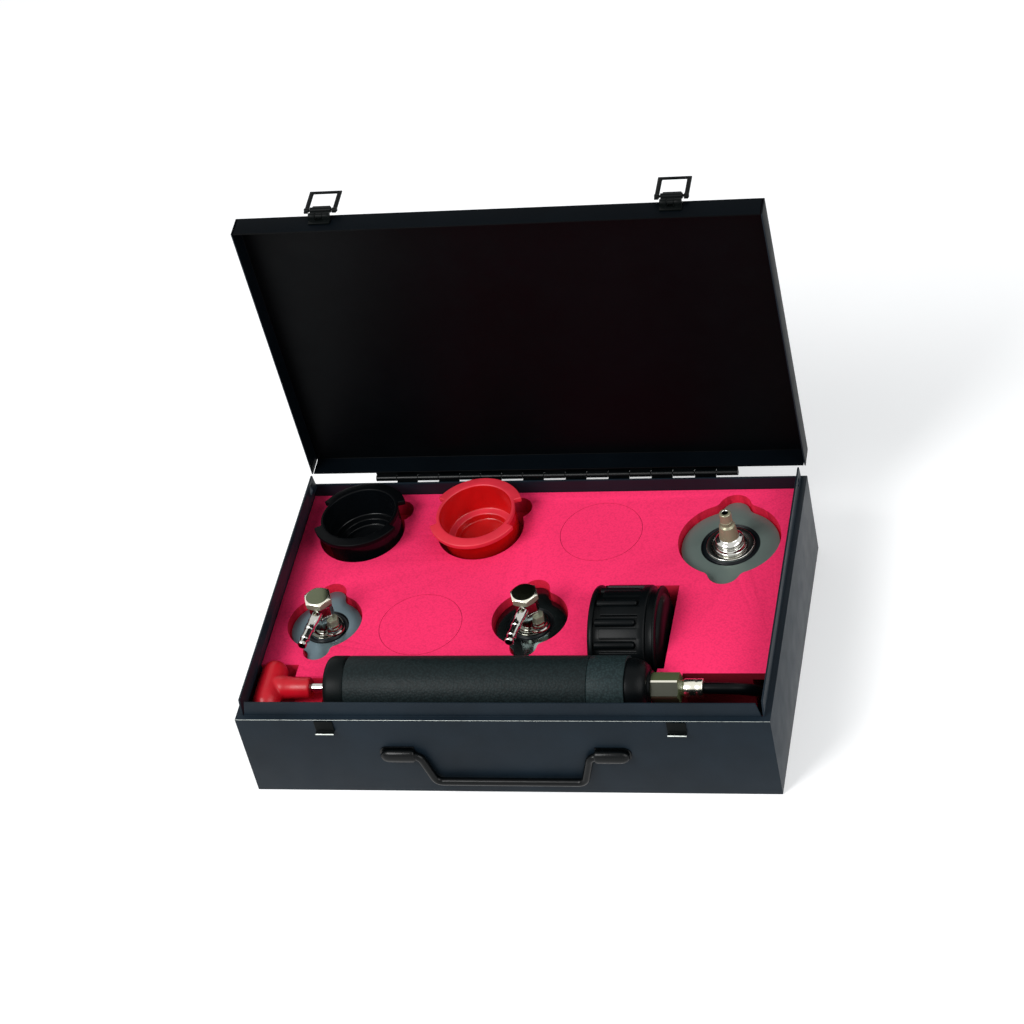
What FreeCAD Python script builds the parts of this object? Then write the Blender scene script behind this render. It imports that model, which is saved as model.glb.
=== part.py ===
"""Radiator pressure tester in a folded steel case, lid open. Millimetres, +Z up.

The origin is the centre of the case's bottom. +X runs to the right along the case,
-Y is the front with the handle, and the lid is hinged along the rear.
"""
import FreeCAD
import Part
import math
import os

V = FreeCAD.Vector
X_AXIS = V(1, 0, 0)
Y_AXIS = V(0, 1, 0)
Z_AXIS = V(0, 0, 1)

# ---- clearances ---------------------------------------------------------------
RUN_FIT = 0.05            # radial clearance of a pin, rod or stem that turns or slides
SEAT_GAP = 0.3            # gap under or beside a piece that lies loose on its seat
FREE_GAP = 0.6            # side clearance between pieces that pass each other

# ---- case ---------------------------------------------------------------------
CASE_WIDTH = 370.0        # outside, along X
CASE_DEPTH = 238.0        # outside, along Y
PAN_HEIGHT = 71.0         # bottom to the top of the ledge
SHEET = 1.2               # sheet steel of the pan
LEDGE_WIDTH = 4.0         # outer wall to the outer face of the upstand
UPSTAND_HEIGHT = 12.5     # above the ledge
UPSTAND_SLANT = 3.0       # the upstand's ends lean back by this much at the top
UPSTAND_HOLE_RADIUS = 3.2
UPSTAND_HOLE_SETBACK = 14.0   # from the rear wall
UPSTAND_HOLE_DROP = 6.2       # from the upstand's top edge

# ---- lid, shown open ------------------------------------------------------------
LID_DEPTH = 16.5          # ledge to the top of the lid
LID_SHEET = 1.0
LID_INSET_FRONT = 1.5
LID_INSET_SIDE = 1.0
LID_OPEN_ANGLE = 86.5     # degrees from closed, where the lid leans on its stop
LID_SEAM = 0.6            # open seam between the lid's folded walls at each corner

# ---- piano hinge ------------------------------------------------------------------
HINGE_LENGTH = 270.0
HINGE_KNUCKLES = 17       # odd, so that both end knuckles are the lid's
HINGE_PIN_RADIUS = 1.0
KNUCKLE_RADIUS = 2.3
HINGE_PIN_SETBACK = 5.0   # pin centre behind the rear wall
HINGE_LEAF = 0.9          # thickness of both leaves
HINGE_LEAF_DROP = 16.0    # how far the pan's leaf reaches down the rear wall
HINGE_LEAF_RISE = 11.0    # how far the lid's leaf reaches up the lid's rear wall
KNUCKLE_GAP = 0.35        # between neighbouring knuckles

# ---- latches and keepers ------------------------------------------------------------
LATCH_INSET = 63.0        # latch's middle to the side of the case
LATCH_PIVOT_RISE = 11.8   # above the ledge, lid closed
LATCH_PIVOT_OUT = 3.7     # in front of the lid's front wall
LATCH_PIN_RADIUS = 0.9
LATCH_SHEET = 1.2
LEVER_WIDTH = 15.0
LEVER_LENGTH = 12.0
LOOP_PIN_ALONG = 6.0      # lever pivot to loop pin
LOOP_WIDTH = 23.5
LOOP_LENGTH = 20.1        # loop pin to the loop's far edge
LOOP_BAR = 3.2
LUG_HEIGHT = 5.0          # fixed lug on the lid, below the pivot
KEEPER_WIDTH = 13.0
KEEPER_TOP_DROP = 0.8     # below the ledge
KEEPER_HEIGHT = 10.0
KEEPER_OUT = 3.9
KEEPER_SHEET = 1.0

# ---- drop handle ----------------------------------------------------------------------
BAIL_RADIUS = 2.8
BAIL_OUT = 3.1            # pivot axis in front of the front wall
BAIL_PIVOT_Z = 39.0
BAIL_DROP = 25.5          # pivot axis to the grip bar
BAIL_GRIP_HALF = 52.0     # half the grip bar, corner to corner
BAIL_LEG_HALF = 59.5      # half the distance between the legs at the pivots
BAIL_END_HALF = 80.0      # half the distance over the pivot ends
BAIL_BEND_RADIUS = 6.0
SADDLE_INNER_HALF = 64.3  # the saddles' inner ends
SADDLE_LENGTH = 21.0
SADDLE_WALL = 1.0
SADDLE_FOOT = 1.2         # flange above and below the saddle's tunnel

# ---- foam ---------------------------------------------------------------------------------
FOAM_TOP = 60.0
CIRCLE_RADIUS = 29.8      # the circles that are cut but still in place
CIRCLE_SLIT = 0.6
CIRCLE_SLIT_DEPTH = 2.0
CIRCLE_SETBACKS = [(144.8, 43.6), (260.5, 136.0)]   # middles, in from the right and the rear wall
FOAM_CUT = 1.6            # clearance round a cap plate in its cut-out

# ---- pump, lying along X ----------------------------------------------------------------
PUMP_FROM_FRONT = 38.5    # axis to the outside of the front wall
PUMP_ABOVE_FOAM = 2.5     # axis above the foam's top
PUMP_FROM_LEFT = 58.0     # left wall to the left end of the front cap
HOSE_FROM_RIGHT = 50.0    # end of the ferrule to the right wall; the grip takes up the rest
CAP_LENGTH = 15.0
END_RING_LENGTH = 25.5
HEAD_LENGTH = 16.0
GRIP_RADIUS = 22.0
BARREL_RADIUS = 15.5
BARREL_BORE = 14.0
CAP_RADIUS = 22.3
CAP_EDGE = 4.0            # rounding of the front cap's edge
HEAD_RADIUS = 20.5
HEAD_NOSE_RADIUS = 12.5
HEAD_PLUG_LENGTH = 18.0   # the head's plug reaches this far into the end ring
NECK_RADIUS = 5.6
NECK_LENGTH = 3.2
BUSH_RADIUS = 5.0
ROD_RADIUS = 3.2
ROD_TIP_RADIUS = 2.4      # the rod's reduced end, through the piston and its nut
ROD_SHOWN = 10.0          # bare rod between the handle's stem and the neck
STROKE_IN = 3.0           # how far the handle can be pushed in while it lies in the foam
PISTON_LENGTH = 12.0
PISTON_FROM_HEAD = 26.0   # piston's face to the head's plug
PISTON_GAP = 0.3
SEAL_LENGTH = 5.0
SEAL_WEB = 1.6            # thickness of the cup seal
PISTON_NUT_FLATS = 10.0
PISTON_NUT_LENGTH = 4.5
THANDLE_STEM_RADIUS = 7.7
THANDLE_STEM_LENGTH = 28.0
THANDLE_SOCKET = 14.0     # how far the rod goes into the handle
THANDLE_GRIP_RADIUS = 9.0
THANDLE_GRIP_LENGTH = 45.0
TROUGH_GAP = 0.6
HOSE_BOX_FLOOR = 20.0     # floor of the open box round the hose fittings

# ---- non-return valve in the head ---------------------------------------------------------
BALL_RADIUS = 3.0
VALVE_SEAT_RADIUS = 2.0
SPRING_WIRE_RADIUS = 0.4
SPRING_TURNS = 4
SPRING_LENGTH = 7.0

# ---- hose fittings and hose ------------------------------------------------------------------
NUT_FLATS = 19.0
NUT_LENGTH = 19.0
FERRULE_RADIUS = 6.4
FERRULE_LENGTH = 16.0
HOSE_RADIUS = 4.0
HOSE_BORE = 2.2
COIL_INSET = 49.5         # coil's middle to the right wall
COIL_FROM_FRONT = 104.4   # coil's middle to the front wall
COIL_MIDDLE_RADIUS = 40.0
COIL_TURNS = 2            # side by side on the floor
COIL_ENTRY_SWEEP = 82.0   # the outer turn is absent this far before the hose reaches it
COIL_INNER_SWEEP = 270.0  # the inner turn ends here and the hose rises from it
COUPLER_RADIUS = 8.0
COUPLER_LENGTH = 36.0
COUPLER_SLEEVE_LENGTH = 18.0
COUPLER_SLEEVE_WALL = 1.6
# The hose from the ferrule down to the outer turn, and from the inner turn up to the coupler,
# which lies on the coil. Points are chosen by hand, each as the distance in from the right wall,
# the distance from the front wall, and the height.
HOSE_ROUTE = [
    (50.0, 38.5, 62.5),
    (35.5, 38.5, 62.5),
    (21.7, 41.8, 57.8),
    (11.2, 47.8, 49.2),
    (5.5, 55.7, 38.0),
    (5.5, 69.7, 17.9),
    (5.5, 80.6, 9.8),
    (5.5, 93.5, 5.5),
    (5.5, 104.4, 5.5),
]
TAIL_ROUTE = [
    (49.5, 69.0, 5.5),
    (36.5, 69.0, 5.5),
    (22.0, 76.0, 8.0),
    (12.4, 88.4, 12.2),
    (8.7, 104.4, 15.2),
    (11.9, 120.2, 17.0),
    (22.0, 132.8, 17.5),
    (36.5, 139.8, 17.5),
    (49.5, 139.8, 17.5),
]

# ---- gauge -----------------------------------------------------------------------------------
GAUGE_FROM_RING_END = 33.5   # left, open end of the boot to the right end of the pump's end ring
BOOT_FROM_GRIP = 0.9      # between the boot and the pump's grip, seen from above
BOOT_LOW = 10.0           # the boot's lowest line, above the coil
BOOT_RADIUS = 37.6
BOOT_WALL = 4.5           # rubber between the case and the bottom of the grooves
BOOT_LIP = 4.5            # front lip that holds the case
BOOT_RIM_LENGTH = 3.0
RIB_LENGTH = 34.5
RIB_COUNT = 18
RIB_GROOVE_DEPTH = 1.6
BOOT_BAND_LENGTH = 5.2
BOOT_WAIST_LENGTH = 1.6
BOOT_WAIST_DEPTH = 2.4    # groove between the band and the flange
BOOT_FLANGE_LENGTH = 1.4
BOOT_BACK_SETBACK = 8.6   # the raised back stands in from the boot's outside
BOOT_BACK_LENGTH = 5.3
GAUGE_CASE_WALL = 1.0
LENS_THICKNESS = 2.0
DIAL_THICKNESS = 0.8
DIAL_FROM_LENS = 5.0
POINTER_THICKNESS = 0.6
POINTER_REACH = 24.0
POINTER_TAIL = 8.0
POINTER_HUB_RADIUS = 3.0
POINTER_SWEEP = 270.0     # from zero to full scale
STAFF_RADIUS = 1.0
BOURDON_RADIUS = 22.0
BOURDON_TUBE_RADIUS = 2.5
BOURDON_SWEEP = 250.0
GAUGE_STEM_RADIUS = 6.0
GAUGE_STEM_BORE = 1.5
GAUGE_STEM_SETBACK = 7.5  # stem's axis to the right end of the pump's end ring

# ---- filler-neck cups ---------------------------------------------------------------------------
CUP_HEIGHT = 30.0
CUP_WALL = 2.2
CUP_BODY_RADIUS = 28.6
CUP_FOOT_RADIUS = 27.2
CUP_RIM_RADIUS = 30.8
CUP_EAR_RADIUS = 34.6
CUP_RIM_HEIGHT = 4.0
CUP_EAR_SWEEP = 138.0
CUP_STEP_RADIUS = 21.0
CUP_STEP_HEIGHT = 10.0
CUP_FLOOR = 2.2
CUP_RIM_Z = 76.0          # middle of the rim's top
CUP_POCKET_RADIUS = 31.6
CUP_SCOOP_RADIUS = 11.0
CUP_SCOOP_REACH = 32.0
CUP_SCOOP_ANGLE = 43.0
CUP_SCOOP_FLOOR = 46.0
CUP_FORWARD = 1.5         # rim's middle in front of the pocket's
CUPS = {                  # pocket's middle, in from the left and the rear wall; lean; turn of the ears
    "cup_black": (46.5, 41.0, 6.0, 18.0),
    "cup_red": (135.5, 39.5, 8.0, 10.0),
}

# ---- cap adapters -----------------------------------------------------------------------------------
PLATE_TOP = 54.0
PLATE_SHEET = 1.5
ADAPTER_TOP = 85.2        # highest point, below the closed lid
STRAIGHT_SETBACK = (51.0, 52.5)   # middle, in from the right and the rear wall
STRAIGHT_RADIUS = 35.0
STRAIGHT_EAR_REACH = 43.8
STRAIGHT_EAR_RADIUS = 10.0
STRAIGHT_EAR_BLEND = 8.0
STRAIGHT_HUB_RADIUS = 16.0
STRAIGHT_WELL_RADIUS = 25.0
LEFT_ELBOW_INSET = 38.5       # adapter's middle to the left wall
MIDDLE_ELBOW_INSET = 48.0     # adapter's middle to the open end of the gauge's boot
ELBOW_FROM_FRONT = {"left": 105.5, "middle": 108.0}
ELBOW_NIPPLE_ANGLE = {"left": -98.0, "middle": -99.0}
ELBOW_RADIUS = 25.5
ELBOW_EAR_REACH = 36.3
ELBOW_EAR_RADIUS = 8.0
ELBOW_EAR_BLEND = 6.0
ELBOW_HUB_RADIUS = 11.0
ELBOW_WELL_RADIUS = 18.5
GROOVE_WIDTH = 3.2        # pressed ring in a cap plate
GROOVE_DEPTH = 0.9
GROOVE_FROM_HUB = 1.6
FLANGE_LIP = 4.0          # stem flange beyond the hub, under the plate
FLANGE_THICKNESS = 2.5
SKIRT_LIP = 1.5           # stem skirt beyond the hub
SKIRT_LENGTH = 12.0
GASKET_THICKNESS = 3.0
GASKET_LIP = 2.0          # gasket beyond the skirt
COLLAR_LIP = 1.1          # collar spun out over the plate
COLLAR_THICKNESS = 0.9
NIPPLE_RADIUS = 3.9
NIPPLE_BORE = 2.2
NIPPLE_BEAD = 0.5
NIPPLE_LENGTH = 18.0      # the straight run that a hose or coupler goes over
BANJO_RADIUS = 8.3
BANJO_HEIGHT = 8.0
BANJO_NIPPLE_REACH = 38.0
BOLT_FLATS = 18.0
BOLT_HEAD = 6.0
BOLT_COLLAR = 1.4
BOLT_RADIUS = 3.9
ELBOW_HEX_FLATS = 15.0
ELBOW_HEX_HEIGHT = 5.0

# ---- places that follow from the sizes above ------------------------------------------------------
HALF_WIDTH = CASE_WIDTH / 2
HALF_DEPTH = CASE_DEPTH / 2
LATCH_X = HALF_WIDTH - LATCH_INSET
STRAIGHT_PLACE = (HALF_WIDTH - STRAIGHT_SETBACK[0], HALF_DEPTH - STRAIGHT_SETBACK[1])
COIL_CENTRE = (HALF_WIDTH - COIL_INSET, -HALF_DEPTH + COIL_FROM_FRONT)
PUMP_Y = -HALF_DEPTH + PUMP_FROM_FRONT
PUMP_Z = FOAM_TOP + PUMP_ABOVE_FOAM
GRIP_LENGTH = (CASE_WIDTH - PUMP_FROM_LEFT - CAP_LENGTH - END_RING_LENGTH - HEAD_LENGTH - NUT_LENGTH
               - FERRULE_LENGTH - HOSE_FROM_RIGHT)
BARREL_START = -HALF_WIDTH + PUMP_FROM_LEFT
UPSTAND_TOP = PAN_HEIGHT + UPSTAND_HEIGHT
HINGE_Y = HALF_DEPTH + HINGE_PIN_SETBACK
HINGE_Z = PAN_HEIGHT
LID_TOP = PAN_HEIGHT + LID_DEPTH
LID_FRONT = -HALF_DEPTH + LID_INSET_FRONT
CAP_END = BARREL_START + CAP_LENGTH
GRIP_END = CAP_END + GRIP_LENGTH
RING_END = GRIP_END + END_RING_LENGTH
HEAD_END = RING_END + HEAD_LENGTH
NUT_END = HEAD_END + NUT_LENGTH
FERRULE_END = NUT_END + FERRULE_LENGTH
NECK_START = BARREL_START - NECK_LENGTH
STEM_END = NECK_START - ROD_SHOWN
THANDLE_X = STEM_END - THANDLE_STEM_LENGTH
BARREL_END = RING_END - HEAD_PLUG_LENGTH
PISTON_END = BARREL_END - PISTON_FROM_HEAD
PISTON_START = PISTON_END - PISTON_LENGTH
GAUGE_X = RING_END - GAUGE_FROM_RING_END
GAUGE_STEM_X = RING_END - GAUGE_STEM_SETBACK
ELBOW_PLACES = {"left": (-HALF_WIDTH + LEFT_ELBOW_INSET, -HALF_DEPTH + ELBOW_FROM_FRONT["left"]),
                "middle": (GAUGE_X - MIDDLE_ELBOW_INSET, -HALF_DEPTH + ELBOW_FROM_FRONT["middle"])}
GAUGE_Y = PUMP_Y + GRIP_RADIUS + BOOT_RADIUS + BOOT_FROM_GRIP
GAUGE_Z = BOOT_LOW + BOOT_RADIUS
BOOT_WAIST_RADIUS = BOOT_RADIUS - BOOT_WAIST_DEPTH
BOOT_BACK_RADIUS = BOOT_RADIUS - BOOT_BACK_SETBACK
GAUGE_TILT = math.degrees(math.atan2(GAUGE_Z - PUMP_Z, GAUGE_Y - PUMP_Y))
GAUGE_REACH = math.hypot(GAUGE_Z - PUMP_Z, GAUGE_Y - PUMP_Y)
FOAM_FLOOR = SHEET + SEAT_GAP
LATCH_PIVOT_Z = PAN_HEIGHT + LATCH_PIVOT_RISE
LATCH_PIVOT_Y = LID_FRONT - LATCH_PIVOT_OUT


# ---- shape helpers --------------------------------------------------------------------------------
def from_left_rear(setback):
    """Place given as distances in from the left and the rear wall."""
    return -HALF_WIDTH + setback[0], HALF_DEPTH - setback[1]


def from_right_rear(setback):
    """Place given as distances in from the right and the rear wall."""
    return HALF_WIDTH - setback[0], HALF_DEPTH - setback[1]


def route_point(step):
    """Point of a hose's route, given from the right wall, the front wall and the case's bottom."""
    return V(HALF_WIDTH - step[0], -HALF_DEPTH + step[1], step[2])


def box(x0, x1, y0, y1, z0, z1):
    """Solid block between two corners."""
    return Part.makeBox(x1 - x0, y1 - y0, z1 - z0, V(x0, y0, z0))


def rod(radius, start, end):
    """Solid cylinder from one point to another."""
    return Part.makeCylinder(radius, (end - start).Length, start, end - start)


def pipe(radius, bore, start, end):
    """Cylinder with a hole right through."""
    along = end - start
    reach = along * (1.0 / along.Length)
    return rod(radius, start, end).cut(rod(bore, start - reach, end + reach))


def turned(profile, start, axis, side):
    """Solid of revolution; profile holds (along, radius) pairs that close on the axis or a bore."""
    points = [start + axis * along + side * radius for along, radius in profile]
    face = Part.Face(Part.makePolygon(points + points[:1]))
    return face.revolve(start, axis, 360)


def turned_z(profile, x, y):
    """Solid of revolution about a vertical axis; profile holds (z, radius) pairs."""
    return turned(profile, V(x, y, 0), Z_AXIS, X_AXIS)


def turned_x(profile, y, z):
    """Solid of revolution about an axis along X; profile holds (x, radius) pairs."""
    return turned(profile, V(0, y, z), X_AXIS, Z_AXIS)


def prism(points, direction):
    """Extruded polygon."""
    return Part.Face(Part.makePolygon(points + points[:1])).extrude(direction)


def hexagon(flats, start, axis, side, length, turn=0.0):
    """Hexagonal prism; side is a direction square to the axis."""
    across = axis.cross(side)
    corner = flats / math.sqrt(3)
    points = []
    for index in range(6):
        angle = math.radians(60 * index + turn)
        points.append(start + side * (corner * math.cos(angle)) + across * (corner * math.sin(angle)))
    return prism(points, axis * length)


def opened(shape):
    """Turn a piece of the closed lid to where it stands with the lid open."""
    turned_shape = shape.copy()
    turned_shape.rotate(V(0, HINGE_Y, HINGE_Z), V(-1, 0, 0), LID_OPEN_ANGLE)
    return turned_shape


def joined(shapes):
    """One solid from touching or overlapping solids."""
    return shapes[0].fuse(shapes[1:]).removeSplitter()


def mirrored_pair(shape):
    """The shape and its mirror image across the case's middle."""
    return Part.makeCompound([shape, shape.mirror(V(0, 0, 0), X_AXIS)])


def save(name, shape):
    """Write one node and stop if it is not made of sound solids."""
    if not shape.isValid() or not shape.Solids:
        raise RuntimeError(name + " is not a sound solid")
    content = shape.Solids[0] if len(shape.Solids) == 1 else Part.makeCompound(shape.Solids)
    content.exportStep("parts/" + name + ".step")


# ---- case --------------------------------------------------------------------------------------------
def upstand_front():
    """Front upstand with leaning ends."""
    half = HALF_WIDTH - LEDGE_WIDTH - SHEET - FREE_GAP
    y = -HALF_DEPTH + LEDGE_WIDTH
    points = [V(-half, y, PAN_HEIGHT - SHEET), V(half, y, PAN_HEIGHT - SHEET),
              V(half - UPSTAND_SLANT, y, UPSTAND_TOP), V(-half + UPSTAND_SLANT, y, UPSTAND_TOP)]
    return prism(points, V(0, SHEET, 0))


def upstand_side():
    """Right upstand, with its leaning ends and the hole near the rear."""
    front = -HALF_DEPTH + LEDGE_WIDTH
    rear = HALF_DEPTH - SHEET - FREE_GAP
    x = HALF_WIDTH - LEDGE_WIDTH - SHEET
    points = [V(x, front, PAN_HEIGHT - SHEET), V(x, rear, PAN_HEIGHT - SHEET),
              V(x, rear - UPSTAND_SLANT, UPSTAND_TOP), V(x, front + UPSTAND_SLANT, UPSTAND_TOP)]
    plate = prism(points, V(SHEET, 0, 0))
    hole_y = HALF_DEPTH - UPSTAND_HOLE_SETBACK
    hole_z = UPSTAND_TOP - UPSTAND_HOLE_DROP
    hole = rod(UPSTAND_HOLE_RADIUS, V(x - SHEET, hole_y, hole_z), V(x + 2 * SHEET, hole_y, hole_z))
    return plate.cut(hole)


def case_base():
    """Folded pan with a ledge and upstand at the front and both sides."""
    inner_x = HALF_WIDTH - SHEET
    inner_y = HALF_DEPTH - SHEET
    outside = box(-HALF_WIDTH, HALF_WIDTH, -HALF_DEPTH, HALF_DEPTH, 0, PAN_HEIGHT)
    hollow = box(-inner_x, inner_x, -inner_y, inner_y, SHEET, PAN_HEIGHT + SHEET)
    shelf = LEDGE_WIDTH + SHEET
    rim = box(-HALF_WIDTH, HALF_WIDTH, -HALF_DEPTH, HALF_DEPTH, PAN_HEIGHT - SHEET, PAN_HEIGHT)
    mouth = box(-HALF_WIDTH + shelf, HALF_WIDTH - shelf, -HALF_DEPTH + shelf, inner_y,
                PAN_HEIGHT - 2 * SHEET, PAN_HEIGHT + SHEET)
    side = upstand_side()
    return joined([outside.cut(hollow), rim.cut(mouth), upstand_front(), side,
                   side.mirror(V(0, 0, 0), X_AXIS)])


def lid_shell():
    """Folded lid tray with an open seam at each corner."""
    half = HALF_WIDTH - LID_INSET_SIDE
    low = PAN_HEIGHT + SEAT_GAP
    outside = box(-half, half, LID_FRONT, HALF_DEPTH, low, LID_TOP)
    hollow = box(-half + LID_SHEET, half - LID_SHEET, LID_FRONT + LID_SHEET, HALF_DEPTH - LID_SHEET,
                 low - LID_SHEET, LID_TOP - LID_SHEET)
    seams = []
    for side in (-1, 1):
        x0, x1 = sorted((side * (half - LID_SHEET), side * (half - LID_SHEET - LID_SEAM)))
        for y0, y1 in ((LID_FRONT - LID_SHEET, LID_FRONT + LID_SHEET),
                       (HALF_DEPTH - LID_SHEET, HALF_DEPTH + LID_SHEET)):
            seams.append(box(x0, x1, y0, y1, low - LID_SHEET, LID_TOP - LID_SHEET))
    return opened(outside.cut([hollow] + seams))


# ---- piano hinge --------------------------------------------------------------------------------------
def knuckle_span(index):
    """Start and end of one knuckle along X."""
    pitch = HINGE_LENGTH / HINGE_KNUCKLES
    start = -HINGE_LENGTH / 2 + index * pitch
    return start + KNUCKLE_GAP / 2, start + pitch - KNUCKLE_GAP / 2


def hinge_leaf(plate, arm_low, arm_high, own_parity):
    """A leaf: its plate, and an arm and a rolled knuckle in every second place."""
    pieces = [plate]
    bores = []
    for index in range(HINGE_KNUCKLES):
        if index % 2 != own_parity:
            continue
        x0, x1 = knuckle_span(index)
        pieces.append(box(x0, x1, HALF_DEPTH, HINGE_Y, arm_low, arm_high))
        pieces.append(rod(KNUCKLE_RADIUS, V(x0, HINGE_Y, HINGE_Z), V(x1, HINGE_Y, HINGE_Z)))
        bores.append(rod(HINGE_PIN_RADIUS + RUN_FIT, V(x0 - 1, HINGE_Y, HINGE_Z),
                         V(x1 + 1, HINGE_Y, HINGE_Z)))
    return joined(pieces).cut(bores)


def hinge_leaf_base():
    """Leaf welded to the outside of the rear wall."""
    arm_low = HINGE_Z - KNUCKLE_RADIUS
    half = HINGE_LENGTH / 2
    plate = box(-half, half, HALF_DEPTH, HALF_DEPTH + HINGE_LEAF, PAN_HEIGHT - HINGE_LEAF_DROP,
                arm_low + HINGE_LEAF)
    return hinge_leaf(plate, arm_low, arm_low + HINGE_LEAF, 1)


def hinge_leaf_lid():
    """Leaf welded to the outside of the lid's rear wall."""
    arm_high = HINGE_Z + KNUCKLE_RADIUS
    half = HINGE_LENGTH / 2
    plate = box(-half, half, HALF_DEPTH, HALF_DEPTH + HINGE_LEAF, arm_high - HINGE_LEAF,
                arm_high + HINGE_LEAF_RISE)
    return opened(hinge_leaf(plate, arm_high - HINGE_LEAF, arm_high, 0))


def hinge_pin():
    """Wire through all the knuckles."""
    half = HINGE_LENGTH / 2 - KNUCKLE_GAP
    return rod(HINGE_PIN_RADIUS, V(-half, HINGE_Y, HINGE_Z), V(half, HINGE_Y, HINGE_Z))


# ---- latches -------------------------------------------------------------------------------------------
def latch_lug(x):
    """Fixed lug on the lid's front wall, with the lever's knuckle at its top."""
    half = LEVER_WIDTH / 2
    knuckle = LATCH_PIN_RADIUS + LATCH_SHEET
    foot = box(x - half, x + half, LID_FRONT - LATCH_SHEET, LID_FRONT,
               LATCH_PIVOT_Z - LUG_HEIGHT, LATCH_PIVOT_Z)
    third = LEVER_WIDTH / 3
    arms = []
    bores = []
    for side in (-1, 1):
        x0 = x + side * third - third / 2 + KNUCKLE_GAP / 2
        x1 = x + side * third + third / 2 - KNUCKLE_GAP / 2
        start, end = V(x0, LATCH_PIVOT_Y, LATCH_PIVOT_Z), V(x1, LATCH_PIVOT_Y, LATCH_PIVOT_Z)
        arms.append(box(x0, x1, LATCH_PIVOT_Y, LID_FRONT, LATCH_PIVOT_Z - knuckle,
                        LATCH_PIVOT_Z - knuckle + LATCH_SHEET))
        arms.append(rod(knuckle, start, end))
        bores.append(rod(LATCH_PIN_RADIUS + RUN_FIT, start - X_AXIS, end + X_AXIS))
    return joined([foot] + arms).cut(bores)


def latch_lever(x):
    """Lever turned up from its pivot: middle knuckle, plate and the loop's knuckle."""
    half = LEVER_WIDTH / 2
    sixth = LEVER_WIDTH / 6 - KNUCKLE_GAP / 2
    knuckle = LATCH_PIN_RADIUS + LATCH_SHEET
    low = LATCH_PIVOT_Z + knuckle + SEAT_GAP
    loop_z = LATCH_PIVOT_Z + LOOP_PIN_ALONG
    face = LATCH_PIVOT_Y - LATCH_SHEET / 2
    plate = box(x - half, x + half, face, face + LATCH_SHEET, low, LATCH_PIVOT_Z + LEVER_LENGTH)
    tongue = box(x - sixth, x + sixth, face, face + LATCH_SHEET, LATCH_PIVOT_Z, low + LATCH_SHEET)
    pivot = rod(knuckle, V(x - sixth, LATCH_PIVOT_Y, LATCH_PIVOT_Z),
                V(x + sixth, LATCH_PIVOT_Y, LATCH_PIVOT_Z))
    barrel = rod(knuckle, V(x - half, LATCH_PIVOT_Y, loop_z), V(x + half, LATCH_PIVOT_Y, loop_z))
    bores = []
    for z in (LATCH_PIVOT_Z, loop_z):
        bores.append(rod(LATCH_PIN_RADIUS + RUN_FIT, V(x - LEVER_WIDTH, LATCH_PIVOT_Y, z),
                         V(x + LEVER_WIDTH, LATCH_PIVOT_Y, z)))
    return joined([plate, tongue, pivot, barrel]).cut(bores)


def latch_pin(x):
    """Pin that joins the lever to its lug."""
    half = LEVER_WIDTH / 2 - KNUCKLE_GAP
    return rod(LATCH_PIN_RADIUS, V(x - half, LATCH_PIVOT_Y, LATCH_PIVOT_Z),
               V(x + half, LATCH_PIVOT_Y, LATCH_PIVOT_Z))


def latch_loop(x):
    """Drawn ring with a window, and the pin it turns on in the lever."""
    half = LOOP_WIDTH / 2
    z0 = LATCH_PIVOT_Z + LOOP_PIN_ALONG
    z1 = z0 + LOOP_LENGTH
    face = LATCH_PIVOT_Y - LATCH_SHEET / 2
    eye = LATCH_PIN_RADIUS + LATCH_SHEET / 2
    outside = box(x - half, x + half, face, face + LATCH_SHEET, z0 - eye, z1)
    window = box(x - half + LOOP_BAR, x + half - LOOP_BAR, face - 1, face + LATCH_SHEET + 1,
                 z0 - 2 * eye, z1 - LOOP_BAR)
    eyes = []
    for side in (-1, 1):
        x0, x1 = sorted((x + side * half, x + side * (half - LOOP_BAR)))
        eyes.append(rod(eye, V(x0, LATCH_PIVOT_Y, z0), V(x1, LATCH_PIVOT_Y, z0)))
    pin = rod(LATCH_PIN_RADIUS, V(x - half, LATCH_PIVOT_Y, z0), V(x + half, LATCH_PIVOT_Y, z0))
    return joined([outside.cut(window), pin] + eyes)


def keeper(x):
    """Keeper plate on the front wall, with its lower lip turned out."""
    half = KEEPER_WIDTH / 2
    top = PAN_HEIGHT - KEEPER_TOP_DROP
    low = top - KEEPER_HEIGHT
    plate = box(x - half, x + half, -HALF_DEPTH - KEEPER_SHEET, -HALF_DEPTH, low, top)
    lip = box(x - half, x + half, -HALF_DEPTH - KEEPER_OUT, -HALF_DEPTH, low, low + KEEPER_SHEET)
    return joined([plate, lip])


# ---- drop handle -------------------------------------------------------------------------------------
def bent_wire(points, radius):
    """Open wire through the points with each corner rounded to one radius."""
    edges = []
    last = points[0]
    for index in range(1, len(points) - 1):
        corner = points[index]
        back = (points[index - 1] - corner).normalize()
        ahead = (points[index + 1] - corner).normalize()
        half_angle = back.getAngle(ahead) / 2
        reach = radius / math.tan(half_angle)
        bisector = (back + ahead).normalize()
        centre = corner + bisector * (radius / math.sin(half_angle))
        start, end = corner + back * reach, corner + ahead * reach
        edges.append(Part.makeLine(last, start))
        edges.append(Part.Arc(start, centre - bisector * radius, end).toShape())
        last = end
    edges.append(Part.makeLine(last, points[-1]))
    return Part.Wire(edges)


def swept_rod(wire, radius):
    """Round bar along a wire."""
    first = wire.Edges[0]
    start = first.valueAt(first.FirstParameter)
    tangent = first.tangentAt(first.FirstParameter)
    section = Part.Wire([Part.makeCircle(radius, start, tangent)])
    return wire.makePipeShell([section], True, True)


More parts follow.
